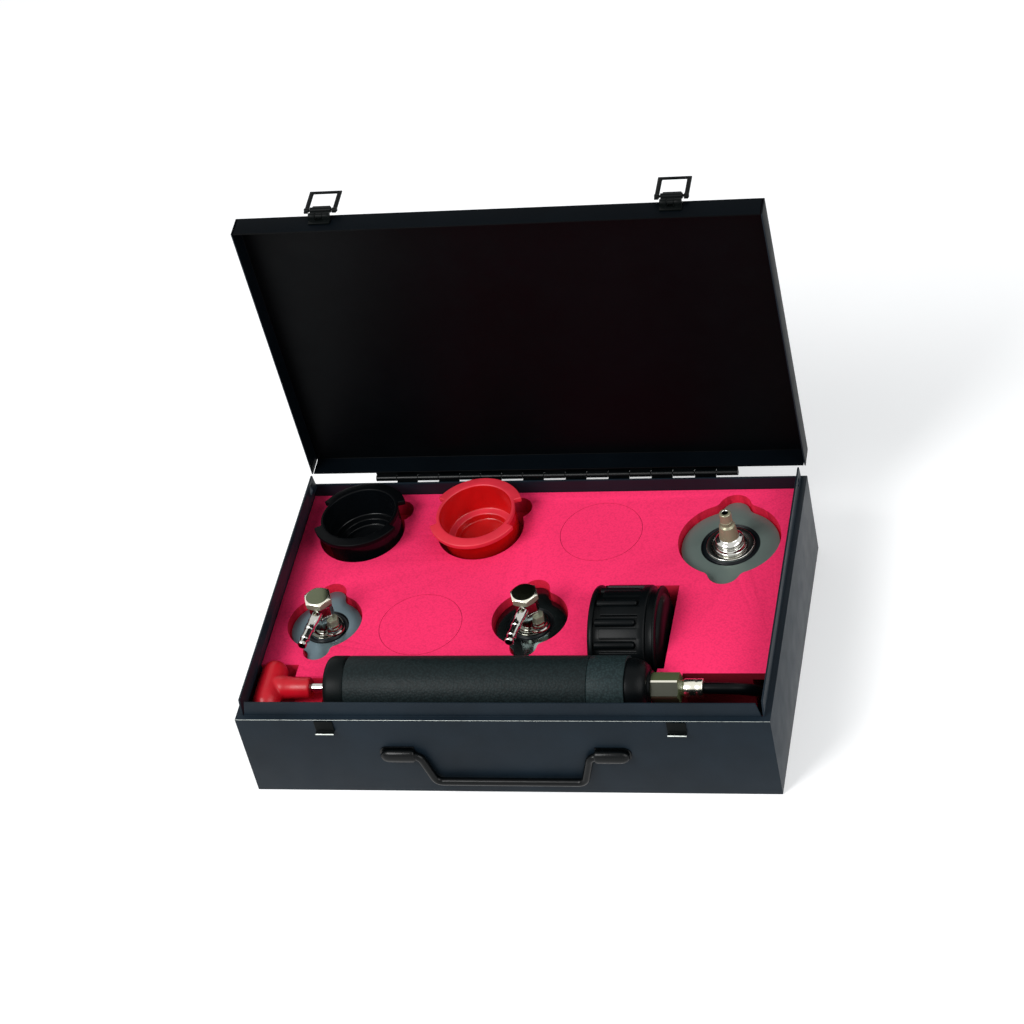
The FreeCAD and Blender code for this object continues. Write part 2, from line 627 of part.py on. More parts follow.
def handle_bail():
    """Drop handle, hanging down the front wall."""
    y = -HALF_DEPTH - BAIL_OUT
    grip_z = BAIL_PIVOT_Z - BAIL_DROP
    points = [V(-BAIL_END_HALF, y, BAIL_PIVOT_Z), V(-BAIL_LEG_HALF, y, BAIL_PIVOT_Z),
              V(-BAIL_GRIP_HALF, y, grip_z), V(BAIL_GRIP_HALF, y, grip_z),
              V(BAIL_LEG_HALF, y, BAIL_PIVOT_Z), V(BAIL_END_HALF, y, BAIL_PIVOT_Z)]
    return swept_rod(bent_wire(points, BAIL_BEND_RADIUS), BAIL_RADIUS)


def handle_saddle():
    """Right pressed saddle: a half-round tunnel with a closed outer end and two flanges."""
    outer = BAIL_RADIUS + SADDLE_WALL
    y = -HALF_DEPTH - BAIL_OUT
    x0, x1 = SADDLE_INNER_HALF, SADDLE_INNER_HALF + SADDLE_LENGTH
    dome = rod(outer, V(x0, y, BAIL_PIVOT_Z), V(x1 - outer, y, BAIL_PIVOT_Z))
    nose = Part.makeSphere(outer, V(x1 - outer, y, BAIL_PIVOT_Z))
    body = box(x0, x1 - outer, y, -HALF_DEPTH, BAIL_PIVOT_Z - outer, BAIL_PIVOT_Z + outer)
    heel = Part.makeCylinder(outer, -HALF_DEPTH - y, V(x1 - outer, y, BAIL_PIVOT_Z), Y_AXIS)
    foot = box(x0, x1 - outer, -HALF_DEPTH - SADDLE_WALL, -HALF_DEPTH,
               BAIL_PIVOT_Z - outer - SADDLE_FOOT, BAIL_PIVOT_Z + outer + SADDLE_FOOT)
    toe = Part.makeCylinder(outer + SADDLE_FOOT, SADDLE_WALL,
                            V(x1 - outer, -HALF_DEPTH - SADDLE_WALL, BAIL_PIVOT_Z), Y_AXIS)
    bore = rod(BAIL_RADIUS + RUN_FIT, V(x0 - 1, y, BAIL_PIVOT_Z),
               V(BAIL_END_HALF + SEAT_GAP, y, BAIL_PIVOT_Z))
    behind_wall = box(x0 - 1, x1 + 2 * outer, -HALF_DEPTH, -HALF_DEPTH + 2 * outer,
                      BAIL_PIVOT_Z - 2 * outer, BAIL_PIVOT_Z + 2 * outer)
    return joined([dome, nose, body, heel, foot, toe]).cut([bore, behind_wall])


# ---- eared outlines shared by cap plates and their cut-outs ------------------------------------------
def eared_solid(place, radius, reach, ear, blend, z0, z1):
    """Disc with two rounded ears along Y, blended into the disc, between two heights."""
    ear_y = reach - ear
    blend_y = ((radius + blend) ** 2 - (ear + blend) ** 2 + ear_y ** 2) / (2 * ear_y)
    blend_x = math.sqrt((radius + blend) ** 2 - blend_y ** 2)
    on_disc = V(blend_x, blend_y, 0) * (radius / (radius + blend))
    ear_centre = V(0, ear_y, 0)
    blend_centre = V(blend_x, blend_y, 0)
    on_ear = ear_centre + (blend_centre - ear_centre) * (ear / (ear + blend))
    middle = (on_disc + on_ear) * 0.5
    on_blend = blend_centre + (middle - blend_centre).normalize() * blend
    edges = []
    for turn in (0, 180):
        arcs = [(V(on_ear.x, on_ear.y, 0), V(0, reach, 0), V(-on_ear.x, on_ear.y, 0)),
                (V(-on_ear.x, on_ear.y, 0), V(-on_blend.x, on_blend.y, 0), V(-on_disc.x, on_disc.y, 0)),
                (V(-on_disc.x, on_disc.y, 0), V(-radius, 0, 0), V(-on_disc.x, -on_disc.y, 0)),
                (V(-on_disc.x, -on_disc.y, 0), V(-on_blend.x, -on_blend.y, 0), V(-on_ear.x, -on_ear.y, 0))]
        for start, through, end in arcs:
            edge = Part.Arc(start, through, end).toShape()
            edge.rotate(V(0, 0, 0), Z_AXIS, turn)
            edges.append(edge)
    face = Part.Face(Part.Wire(Part.__sortEdges__(edges)))
    face.translate(V(place[0], place[1], z0))
    return face.extrude(V(0, 0, z1 - z0))


def cap_plate(place, radius, reach, ear, blend, hub):
    """Cam plate with a hub hole and a pressed ring round it."""
    low = PLATE_TOP - PLATE_SHEET
    plate = eared_solid(place, radius, reach, ear, blend, low, PLATE_TOP)
    x, y = place
    hole = rod(hub, V(x, y, low - 1), V(x, y, PLATE_TOP + 1))
    inner = hub + GROOVE_FROM_HUB
    groove = pipe(inner + GROOVE_WIDTH, inner, V(x, y, PLATE_TOP - GROOVE_DEPTH), V(x, y, PLATE_TOP + 1))
    return plate.cut([hole, groove])


def plate_cut_out(place, radius, reach, ear, blend, well):
    """The space in the foam for a cap plate and the stem's skirt below it."""
    x, y = place
    shelf = PLATE_TOP - PLATE_SHEET - SEAT_GAP
    seat = eared_solid(place, radius + FOAM_CUT, reach + FOAM_CUT, ear + FOAM_CUT, blend - FOAM_CUT,
                       shelf, FOAM_TOP + 1)
    return seat.fuse(rod(well, V(x, y, STEM_BOTTOM - SEAT_GAP), V(x, y, FOAM_TOP)))


# ---- cap adapters ---------------------------------------------------------------------------------------
FLANGE_TOP = PLATE_TOP - PLATE_SHEET - SEAT_GAP
FLANGE_LOW = FLANGE_TOP - FLANGE_THICKNESS
SKIRT_LOW = FLANGE_LOW - SKIRT_LENGTH
STEM_BOTTOM = SKIRT_LOW - GASKET_THICKNESS
COLLAR_TOP = PLATE_TOP + SEAT_GAP + COLLAR_THICKNESS


def stem_profile(hub, above):
    """Stem as (z, radius) pairs: bore, skirt, flange, hub, collar, then what stands above it."""
    spindle = hub - RUN_FIT
    skirt = hub + SKIRT_LIP
    return ([(SKIRT_LOW, NIPPLE_BORE), (SKIRT_LOW, skirt), (FLANGE_LOW, skirt),
             (FLANGE_LOW, hub + FLANGE_LIP), (FLANGE_TOP, hub + FLANGE_LIP), (FLANGE_TOP, spindle),
             (PLATE_TOP + SEAT_GAP, spindle), (PLATE_TOP + SEAT_GAP, hub + COLLAR_LIP),
             (COLLAR_TOP, hub + COLLAR_LIP)] + above)


def straight_stem():
    """Stepped stem with a bead on its nipple, bored right through."""
    x, y = STRAIGHT_PLACE
    hub = STRAIGHT_HUB_RADIUS
    nipple_low = ADAPTER_TOP - NIPPLE_LENGTH
    bead = NIPPLE_RADIUS + NIPPLE_BEAD
    step = (nipple_low - COLLAR_TOP) / 4
    above = [(COLLAR_TOP, hub * 0.84), (COLLAR_TOP + step, hub * 0.8), (COLLAR_TOP + step, hub * 0.62),
             (COLLAR_TOP + 2 * step, hub * 0.6), (COLLAR_TOP + 2 * step, hub * 0.5),
             (COLLAR_TOP + 3 * step, hub * 0.44), (nipple_low, bead), (nipple_low, NIPPLE_RADIUS),
             (nipple_low + NIPPLE_LENGTH, NIPPLE_RADIUS), (ADAPTER_TOP, NIPPLE_BORE)]
    return turned_z(stem_profile(hub, above), x, y)


def gasket(place, hub):
    """Rubber ring under the skirt that seals on the filler neck."""
    x, y = place
    outer = hub + SKIRT_LIP + GASKET_LIP
    return pipe(outer, outer * 0.55, V(x, y, STEM_BOTTOM), V(x, y, SKIRT_LOW))


BOLT_TOP = ADAPTER_TOP
BOLT_SEAT = BOLT_TOP - BOLT_HEAD - BOLT_COLLAR
BANJO_LOW = BOLT_SEAT - BANJO_HEIGHT
HEX_TOP = BANJO_LOW
HEX_LOW = HEX_TOP - ELBOW_HEX_HEIGHT


def elbow_stem(place):
    """Stepped boss with a hexagon that carries the banjo; the bolt screws into its bore."""
    x, y = place
    hub = ELBOW_HUB_RADIUS
    step = (HEX_LOW - COLLAR_TOP) / 2
    neck = ELBOW_HEX_FLATS / 2 * 0.86
    above = [(COLLAR_TOP, hub * 0.9), (COLLAR_TOP + step, hub * 0.86), (COLLAR_TOP + step, hub * 0.74),
             (HEX_LOW, hub * 0.7), (HEX_LOW, neck), (HEX_TOP, neck), (HEX_TOP, NIPPLE_BORE)]
    body = turned_z(stem_profile(hub, above), x, y)
    hexagonal = hexagon(ELBOW_HEX_FLATS, V(x, y, HEX_LOW), Z_AXIS, X_AXIS, ELBOW_HEX_HEIGHT, 12)
    thread = rod(BOLT_RADIUS, V(x, y, COLLAR_TOP), V(x, y, HEX_TOP + 1))
    return joined([body, hexagonal]).cut(thread)


def banjo(place, angle):
    """Banjo ring with its side nipple, which ends in a bead."""
    x, y = place
    middle = BANJO_LOW + BANJO_HEIGHT / 2
    direction = V(math.cos(math.radians(angle)), math.sin(math.radians(angle)), 0)
    ring = rod(BANJO_RADIUS, V(x, y, BANJO_LOW), V(x, y, BOLT_SEAT))
    bead = NIPPLE_RADIUS + NIPPLE_BEAD
    pitch = (BANJO_NIPPLE_REACH - BANJO_RADIUS) / 4
    profile = [(0, 0), (0, NIPPLE_RADIUS)]
    for index in range(1, 5):
        along = BANJO_RADIUS + index * pitch
        profile += [(along - pitch * 0.3, NIPPLE_RADIUS), (along - pitch * 0.3, bead),
                    (along, NIPPLE_RADIUS)]
    profile += [(BANJO_NIPPLE_REACH, 0)]
    nipple = turned(profile, V(x, y, middle), direction, Z_AXIS)
    end = V(x, y, middle) + direction * BANJO_NIPPLE_REACH
    duct = rod(NIPPLE_BORE, V(x, y, middle), end + direction)
    eye = rod(BOLT_RADIUS + RUN_FIT, V(x, y, BANJO_LOW - 1), V(x, y, BOLT_SEAT + 1))
    return joined([ring, nipple]).cut([duct, eye])


def banjo_bolt(place):
    """Hexagon bolt through the banjo into the stem."""
    x, y = place
    head_low = BOLT_SEAT + BOLT_COLLAR
    head = hexagon(BOLT_FLATS, V(x, y, head_low), Z_AXIS, X_AXIS, BOLT_HEAD, 20)
    edge = BOLT_FLATS / 2
    crown = turned_z([(head_low, 0), (head_low, edge * 1.13), (BOLT_TOP - 1, edge * 1.17),
                      (BOLT_TOP, edge), (BOLT_TOP, 0)], x, y)
    collar = rod(edge * 0.94, V(x, y, BOLT_SEAT), V(x, y, head_low))
    shank = rod(BOLT_RADIUS, V(x, y, COLLAR_TOP + SEAT_GAP), V(x, y, head_low))
    return joined([head.common(crown), collar, shank])


# ---- filler-neck cups ---------------------------------------------------------------------------------
def cup_lean_drop(lean):
    """How far the foot's lowest edge lies below the rim's middle when the cup leans."""
    angle = math.radians(lean)
    return CUP_HEIGHT * math.cos(angle) + CUP_FOOT_RADIUS * math.sin(angle)


def ear_sector(start_angle):
    """One bayonet ear: a ring sector outside the rim."""
    ring = Part.makeCylinder(CUP_EAR_RADIUS, CUP_RIM_HEIGHT, V(0, 0, CUP_HEIGHT - CUP_RIM_HEIGHT),
                             Z_AXIS, CUP_EAR_SWEEP)
    core = Part.makeCylinder(CUP_RIM_RADIUS - 1, 2 * CUP_RIM_HEIGHT,
                             V(0, 0, CUP_HEIGHT - 1.5 * CUP_RIM_HEIGHT))
    ear = ring.cut(core)
    ear.rotate(V(0, 0, 0), Z_AXIS, start_angle)
    return ear


def cup(place, lean, turn):
    """Cup with a stepped inside, a rim and two ears, leaning towards the front."""
    rim_low = CUP_HEIGHT - CUP_RIM_HEIGHT
    bore = CUP_BODY_RADIUS - CUP_WALL
    body = turned_z([(0, 0), (0, CUP_FOOT_RADIUS), (rim_low, CUP_BODY_RADIUS),
                     (rim_low, CUP_RIM_RADIUS), (CUP_HEIGHT, CUP_RIM_RADIUS), (CUP_HEIGHT, bore),
                     (CUP_STEP_HEIGHT, bore - 1), (CUP_STEP_HEIGHT, CUP_STEP_RADIUS),
                     (CUP_FLOOR, CUP_STEP_RADIUS), (CUP_FLOOR, 0)], 0, 0)
    half = CUP_EAR_SWEEP / 2
    shape = joined([body, ear_sector(90 - half + turn), ear_sector(270 - half + turn)])
    shape.translate(V(0, 0, -CUP_HEIGHT))
    shape.rotate(V(0, 0, 0), X_AXIS, lean)
    shape.translate(V(place[0], place[1] - CUP_FORWARD, CUP_RIM_Z))
    return shape


def cup_pocket(place, lean):
    """Round pocket with a finger scoop."""
    x, y = place
    floor = CUP_RIM_Z - cup_lean_drop(lean) - SEAT_GAP
    angle = math.radians(CUP_SCOOP_ANGLE)
    scoop_x = x + CUP_SCOOP_REACH * math.cos(angle)
    scoop_y = y + CUP_SCOOP_REACH * math.sin(angle)
    pocket = rod(CUP_POCKET_RADIUS, V(x, y, floor), V(x, y, FOAM_TOP + 1))
    scoop = rod(CUP_SCOOP_RADIUS, V(scoop_x, scoop_y, CUP_SCOOP_FLOOR), V(scoop_x, scoop_y, FOAM_TOP + 1))
    return pocket.fuse(scoop)


# ---- pump ----------------------------------------------------------------------------------------------
def on_pump(x):
    """Point on the pump's axis."""
    return V(x, PUMP_Y, PUMP_Z)


def front_cap():
    """Cap with a rounded edge and a neck, bored for the bush and the barrel."""
    seat = CAP_END - CAP_LENGTH * 0.45
    return turned_x([(NECK_START, BUSH_RADIUS), (NECK_START, NECK_RADIUS), (BARREL_START, NECK_RADIUS),
                     (BARREL_START, CAP_RADIUS - CAP_EDGE), (BARREL_START + CAP_EDGE * 0.3, CAP_RADIUS - 1.2),
                     (BARREL_START + CAP_EDGE, CAP_RADIUS), (CAP_END, CAP_RADIUS),
                     (CAP_END, BARREL_RADIUS), (seat, BARREL_RADIUS), (seat, BUSH_RADIUS)], PUMP_Y, PUMP_Z)


def rod_bush():
    """Bush in the front cap that the rod slides in."""
    seat = CAP_END - CAP_LENGTH * 0.45
    return pipe(BUSH_RADIUS, ROD_RADIUS + RUN_FIT, on_pump(NECK_START), on_pump(seat))


def pump_barrel():
    """Barrel tube from the front cap to the head's plug."""
    seat = CAP_END - CAP_LENGTH * 0.45
    return pipe(BARREL_RADIUS, BARREL_BORE, on_pump(seat), on_pump(BARREL_END))


def pump_grip():
    """Long sleeve round the barrel."""
    return pipe(GRIP_RADIUS, BARREL_RADIUS, on_pump(CAP_END), on_pump(GRIP_END))


def gauge_line(distance):
    """Point at a distance from the pump's axis on the line to the gauge, at the stem's place."""
    angle = math.radians(GAUGE_TILT)
    return V(GAUGE_STEM_X, PUMP_Y + distance * math.cos(angle), PUMP_Z + distance * math.sin(angle))


def pump_end_ring():
    """Plain ring round the head's plug, with a hole for the gauge's stem."""
    lip = 0.6
    ring = turned_x([(GRIP_END, BARREL_RADIUS), (GRIP_END, GRIP_RADIUS - lip),
                     (GRIP_END + lip, GRIP_RADIUS), (RING_END - lip, GRIP_RADIUS),
                     (RING_END, GRIP_RADIUS - lip), (RING_END, BARREL_RADIUS)], PUMP_Y, PUMP_Z)
    return ring.cut(rod(GAUGE_STEM_RADIUS, gauge_line(0), gauge_line(2 * GRIP_RADIUS)))


VALVE_ROOM = BALL_RADIUS + FREE_GAP
VALVE_SEAT_X = BARREL_END + 2
SPRING_START = VALVE_SEAT_X + 2 * BALL_RADIUS + SEAT_GAP
SPRING_END = SPRING_START + SPRING_LENGTH
STEM_SEAT = VALVE_ROOM + 3


def pump_head():
    """Head with its plug, the valve's room, and the passages to the hose and the gauge."""
    shoulder = RING_END + HEAD_LENGTH * 0.45
    body = turned_x([(BARREL_END, 0), (BARREL_END, BARREL_RADIUS), (RING_END, BARREL_RADIUS),
                     (RING_END, HEAD_RADIUS), (shoulder, HEAD_RADIUS * 0.97),
                     (HEAD_END - 1.5, HEAD_NOSE_RADIUS), (HEAD_END, HEAD_NOSE_RADIUS - 1.5),
                     (HEAD_END, 0)], PUMP_Y, PUMP_Z)
    inlet = rod(VALVE_SEAT_RADIUS, on_pump(BARREL_END - 1), on_pump(VALVE_SEAT_X + 1))
    room = rod(VALVE_ROOM, on_pump(VALVE_SEAT_X), on_pump(HEAD_END + 1))
    port = rod(GAUGE_STEM_RADIUS, gauge_line(STEM_SEAT), gauge_line(HEAD_RADIUS))
    drill = rod(GAUGE_STEM_BORE, gauge_line(0), gauge_line(HEAD_RADIUS))
    return body.cut([inlet, room, port, drill])


def valve_ball():
    """Ball of the non-return valve, on its seat."""
    return Part.makeSphere(BALL_RADIUS, on_pump(VALVE_SEAT_X + BALL_RADIUS + SEAT_GAP / 3))


def valve_spring():
    """Coil spring behind the ball."""
    mean = BALL_RADIUS - SPRING_WIRE_RADIUS
    helix = Part.makeHelix(SPRING_LENGTH / SPRING_TURNS, SPRING_LENGTH, mean)
    section = Part.Wire([Part.makeCircle(SPRING_WIRE_RADIUS, V(mean, 0, 0), Y_AXIS)])
    coil = Part.Wire(helix).makePipeShell([section], True, True)
    coil.rotate(V(0, 0, 0), Y_AXIS, 90)
    coil.translate(on_pump(SPRING_START + SPRING_WIRE_RADIUS))
    return coil


def hose_nut():
    """Hexagon nut on the head; its spigot holds the valve's spring."""
    body = hexagon(NUT_FLATS, on_pump(HEAD_END), X_AXIS, Z_AXIS, NUT_LENGTH, 30)
    corner = NUT_FLATS / math.sqrt(3)
    bevel = corner - NUT_FLATS / 2
    rounds = turned_x([(HEAD_END, 0), (HEAD_END, corner - bevel * 0.6), (HEAD_END + bevel, corner + 0.2),
                       (NUT_END - bevel, corner + 0.2), (NUT_END, corner - bevel * 0.6), (NUT_END, 0)],
                      PUMP_Y, PUMP_Z)
    spigot_start = SPRING_END + 2 * SPRING_WIRE_RADIUS + SEAT_GAP
    spigot = rod(VALVE_ROOM, on_pump(spigot_start), on_pump(HEAD_END + 1))
    bore = rod(HOSE_BORE, on_pump(SPRING_END), on_pump(NUT_END + 1))
    return joined([body.common(rounds), spigot]).cut(bore)


def hose_ferrule():
    """Crimped ferrule between the nut and the hose."""
    ring = FERRULE_LENGTH * 0.25
    return turned_x([(NUT_END, HOSE_BORE), (NUT_END, FERRULE_RADIUS * 0.86),
                     (NUT_END + ring, FERRULE_RADIUS * 0.86), (NUT_END + ring, FERRULE_RADIUS),
                     (FERRULE_END - 1, FERRULE_RADIUS), (FERRULE_END, FERRULE_RADIUS - 1),
                     (FERRULE_END, HOSE_BORE)], PUMP_Y, PUMP_Z)


def pump_rod():
    """Chrome rod from the handle to the piston, with a thread for the piston's nut."""
    handle_end = STEM_END - THANDLE_SOCKET
    tip = PISTON_END + SEAL_LENGTH + PISTON_NUT_LENGTH
    return joined([rod(ROD_RADIUS, on_pump(handle_end), on_pump(PISTON_START)),
                   rod(ROD_TIP_RADIUS, on_pump(PISTON_START), on_pump(tip))])


def piston():
    """Piston body on the rod's end."""
    return pipe(BARREL_BORE - PISTON_GAP, ROD_TIP_RADIUS + RUN_FIT, on_pump(PISTON_START + RUN_FIT),
                on_pump(PISTON_END))


def piston_seal():
    """Cup seal that points to the head."""
    edge = BARREL_BORE - RUN_FIT
    hub = ROD_TIP_RADIUS + RUN_FIT
    web_end = PISTON_END + SEAL_WEB
    return turned_x([(PISTON_END, hub), (PISTON_END, edge - SEAL_WEB), (PISTON_END + SEAL_LENGTH, edge),
                     (PISTON_END + SEAL_LENGTH, edge - SEAL_WEB), (web_end, edge - 2.4 * SEAL_WEB),
                     (web_end, hub)], PUMP_Y, PUMP_Z)


def piston_nut():
    """Nut on the rod that holds the cup seal and the piston."""
    start = PISTON_END + SEAL_WEB + RUN_FIT
    body = hexagon(PISTON_NUT_FLATS, on_pump(start), X_AXIS, Z_AXIS, PISTON_NUT_LENGTH)
    return body.cut(rod(ROD_TIP_RADIUS, on_pump(start - 1), on_pump(start + PISTON_NUT_LENGTH + 1)))


def t_handle():
    """T-handle: a barrel-shaped grip along Y and a stem with a socket for the rod."""
    half = THANDLE_GRIP_LENGTH / 2
    radius = THANDLE_GRIP_RADIUS
    centre = on_pump(THANDLE_X)
    profile = [(-half, 0), (-half, radius * 0.45), (-half + radius * 0.18, radius * 0.74),
               (-half + radius * 0.5, radius * 0.92), (-half + radius, radius), (0, radius * 0.93),
               (half - radius, radius), (half - radius * 0.5, radius * 0.92),
               (half - radius * 0.18, radius * 0.74), (half, radius * 0.45), (half, 0)]
    grip = turned(profile, centre, Y_AXIS, Z_AXIS)
    stem = turned_x([(THANDLE_X, 0), (THANDLE_X, THANDLE_STEM_RADIUS),
                     (STEM_END - 1.2, THANDLE_STEM_RADIUS), (STEM_END, THANDLE_STEM_RADIUS - 1.2),
                     (STEM_END, 0)], PUMP_Y, PUMP_Z)
    socket = rod(ROD_RADIUS, on_pump(STEM_END - THANDLE_SOCKET), on_pump(STEM_END + 1))
    return joined([grip, stem]).cut(socket)


# ---- hose ----------------------------------------------------------------------------------------------
def rounded_route(points):
    """Wire along a route: straight runs joined by tangent arcs as large as the runs allow."""
    edges = []
    last = points[0]
    radii = []
    for index in range(1, len(points) - 1):
        before, corner, after = points[index - 1], points[index], points[index + 1]
        run = min((corner - before).Length, (after - corner).Length)
        reach = 0.45 * run
        back = (before - corner).normalize()
        ahead = (after - corner).normalize()
        half_angle = back.getAngle(ahead) / 2
        radius = reach * math.tan(half_angle)
        bisector = (back + ahead).normalize()
        centre = corner + bisector * (radius / math.sin(half_angle))
        start, end = corner + back * reach, corner + ahead * reach
        edges.append(Part.LineSegment(last, start).toShape())
        edges.append(Part.Arc(start, centre - bisector * radius, end).toShape())
        radii.append(radius)
        last = end
    edges.append(Part.LineSegment(last, points[-1]).toShape())
    print("smallest bend %.1f mm, length %.1f mm" % (min(radii), sum(e.Length for e in edges)))
    return Part.Wire(edges)


def hose_run(steps):
    """Hose along a route."""
    return swept_rod(rounded_route([route_point(step) for step in steps]), HOSE_RADIUS)


COIL_LOW = SHEET + SEAT_GAP
COIL_OUTER = COIL_MIDDLE_RADIUS + COIL_TURNS * HOSE_RADIUS
COIL_INNER = COIL_MIDDLE_RADIUS - COIL_TURNS * HOSE_RADIUS


def coil_sector(inner, outer, start_angle, sweep):
    """Part of the coil's ring between two radii, from an angle on for a sweep, in degrees."""
    x, y = COIL_CENTRE
    low = COIL_LOW - 1
    height = 2 * HOSE_RADIUS + 2
    sector = Part.makeCylinder(outer, height, V(x, y, low), Z_AXIS, sweep)
    sector = sector.cut(Part.makeCylinder(inner, height, V(x, y, low)))
    sector.rotate(V(x, y, 0), Z_AXIS, start_angle)
    return sector


def hose_coil():
    """Outer shape of the turns, less the stretches where the hose comes down and rises again."""
    x, y = COIL_CENTRE
    ring = pipe(COIL_OUTER, COIL_INNER, V(x, y, COIL_LOW), V(x, y, COIL_LOW + 2 * HOSE_RADIUS))
    entry = coil_sector(COIL_MIDDLE_RADIUS, COIL_OUTER + 1, -COIL_ENTRY_SWEEP, COIL_ENTRY_SWEEP)
    rise = coil_sector(COIL_INNER - 1, COIL_MIDDLE_RADIUS, COIL_INNER_SWEEP, 360 - COIL_INNER_SWEEP)
    return ring.cut([entry, rise])


def on_tail(along):
    """Point on the coupler's axis, measured from the end of the hose."""
    end = route_point(TAIL_ROUTE[-1])
    direction = (end - route_point(TAIL_ROUTE[-2])).normalize()
    return end + direction * along, direction


def coupler_body():
    """Quick coupler's body on the end of the hose."""
    start, direction = on_tail(0)
    neck = COUPLER_LENGTH * 0.25
    body = COUPLER_RADIUS - COUPLER_SLEEVE_WALL
    side = direction.cross(Z_AXIS).normalize()
    return turned([(0, HOSE_BORE), (0, HOSE_RADIUS + 1), (neck, HOSE_RADIUS + 1), (neck, body),
                   (COUPLER_LENGTH, body), (COUPLER_LENGTH, NIPPLE_RADIUS + FREE_GAP),
                   (COUPLER_LENGTH * 0.5, NIPPLE_RADIUS + FREE_GAP), (COUPLER_LENGTH * 0.5, HOSE_BORE)],
                  start, direction, side)


def coupler_sleeve():
    """Knurled sleeve round the coupler's body."""
    start = on_tail(COUPLER_LENGTH - COUPLER_SLEEVE_LENGTH - 3)[0]
    end = on_tail(COUPLER_LENGTH - 3)[0]
    return pipe(COUPLER_RADIUS, COUPLER_RADIUS - COUPLER_SLEEVE_WALL, start, end)


# ---- gauge, turned about its own axis so that its stem points at the pump ----------------------------------
RIBS_END = GAUGE_X + BOOT_RIM_LENGTH + RIB_LENGTH
WAIST_START = RIBS_END + BOOT_BAND_LENGTH
WAIST_END = WAIST_START + BOOT_WAIST_LENGTH
BOOT_END = WAIST_END + BOOT_FLANGE_LENGTH
GAUGE_CASE_RADIUS = BOOT_RADIUS - BOOT_WALL - RIB_GROOVE_DEPTH
GAUGE_FACE = GAUGE_X + BOOT_LIP / 2
LENS_BACK = GAUGE_FACE + LENS_THICKNESS
DIAL_FRONT = LENS_BACK + DIAL_FROM_LENS
GAUGE_BACK = BOOT_END - BOOT_WALL / 2
LENS_RADIUS = GAUGE_CASE_RADIUS - GAUGE_CASE_WALL


def on_gauge(x):
    """Point on the gauge's axis."""
    return V(x, GAUGE_Y, GAUGE_Z)


def gauge_boot():
    """Rubber boot: lip, ribs, smooth band, waist, thin flange and raised back, with a hole for the stem."""
    outside = turned_x([(GAUGE_X, 0), (GAUGE_X, BOOT_RADIUS - 2), (GAUGE_X + 2, BOOT_RADIUS),
                        (WAIST_START, BOOT_RADIUS), (WAIST_START, BOOT_WAIST_RADIUS),
                        (WAIST_END, BOOT_WAIST_RADIUS), (WAIST_END, BOOT_RADIUS - 0.4),
                        (BOOT_END, BOOT_RADIUS - 0.8), (BOOT_END, BOOT_BACK_RADIUS),
                        (BOOT_END + BOOT_BACK_LENGTH, BOOT_BACK_RADIUS - 4),
                        (BOOT_END + BOOT_BACK_LENGTH, 0)], GAUGE_Y, GAUGE_Z)
    room = rod(GAUGE_CASE_RADIUS, on_gauge(GAUGE_FACE), on_gauge(GAUGE_BACK))
    mouth = rod(GAUGE_CASE_RADIUS - BOOT_LIP, on_gauge(GAUGE_X - 1), on_gauge(GAUGE_FACE + 1))
    stem = rod(GAUGE_STEM_RADIUS + SEAT_GAP, gauge_line(GAUGE_REACH - BOOT_RADIUS - 1),
               gauge_line(GAUGE_REACH - GAUGE_CASE_RADIUS + 1))
    width = math.pi * BOOT_RADIUS / RIB_COUNT
    groove = box(GAUGE_X + BOOT_RIM_LENGTH, RIBS_END, GAUGE_Y - width / 2, GAUGE_Y + width / 2,
                 GAUGE_Z + BOOT_RADIUS - RIB_GROOVE_DEPTH, GAUGE_Z + BOOT_RADIUS + 1)
    grooves = []
    for index in range(RIB_COUNT):
        copy = groove.copy()
        copy.rotate(on_gauge(0), X_AXIS, (index + 0.5) * 360.0 / RIB_COUNT + GAUGE_TILT)
        grooves.append(copy)
    return outside.cut([room, mouth, stem] + grooves)


def gauge_case():
    """Steel cup of the gauge, open to the left, with a hole for the stem."""
    cup_shape = turned_x([(GAUGE_FACE, LENS_RADIUS), (GAUGE_FACE, GAUGE_CASE_RADIUS),
                          (GAUGE_BACK, GAUGE_CASE_RADIUS), (GAUGE_BACK, 0),
                          (GAUGE_BACK - GAUGE_CASE_WALL, 0), (GAUGE_BACK - GAUGE_CASE_WALL, LENS_RADIUS)],
                         GAUGE_Y, GAUGE_Z)
    hole = rod(GAUGE_STEM_RADIUS, gauge_line(GAUGE_REACH - GAUGE_CASE_RADIUS - 2),
               gauge_line(GAUGE_REACH - GAUGE_CASE_RADIUS + 4))
    return cup_shape.cut(hole)


def gauge_lens():
    """Clear lens."""
    return rod(LENS_RADIUS, on_gauge(GAUGE_FACE), on_gauge(LENS_BACK))


def gauge_dial():
    """Dial plate with a hole for the pointer's staff."""
    return pipe(LENS_RADIUS, STAFF_RADIUS + FREE_GAP, on_gauge(DIAL_FRONT),
                on_gauge(DIAL_FRONT + DIAL_THICKNESS))


def gauge_pointer():
    """Pointer, hub and staff in one, at zero; the stem side is the bottom of the dial."""
    front = DIAL_FRONT - 2.4
    hub = rod(POINTER_HUB_RADIUS, on_gauge(front), on_gauge(front + 1.6))
    staff = rod(STAFF_RADIUS, on_gauge(front), on_gauge(DIAL_FRONT + DIAL_THICKNESS + 6))
    points = [on_gauge(front) + V(0, 0, POINTER_REACH), on_gauge(front) + V(0, 1.6, -POINTER_TAIL),
              on_gauge(front) + V(0, -1.6, -POINTER_TAIL)]
    blade = prism(points, V(POINTER_THICKNESS, 0, 0))
    shape = joined([hub, staff, blade])
    shape.rotate(on_gauge(0), X_AXIS, GAUGE_TILT - 90 - POINTER_SWEEP / 2)
    return shape


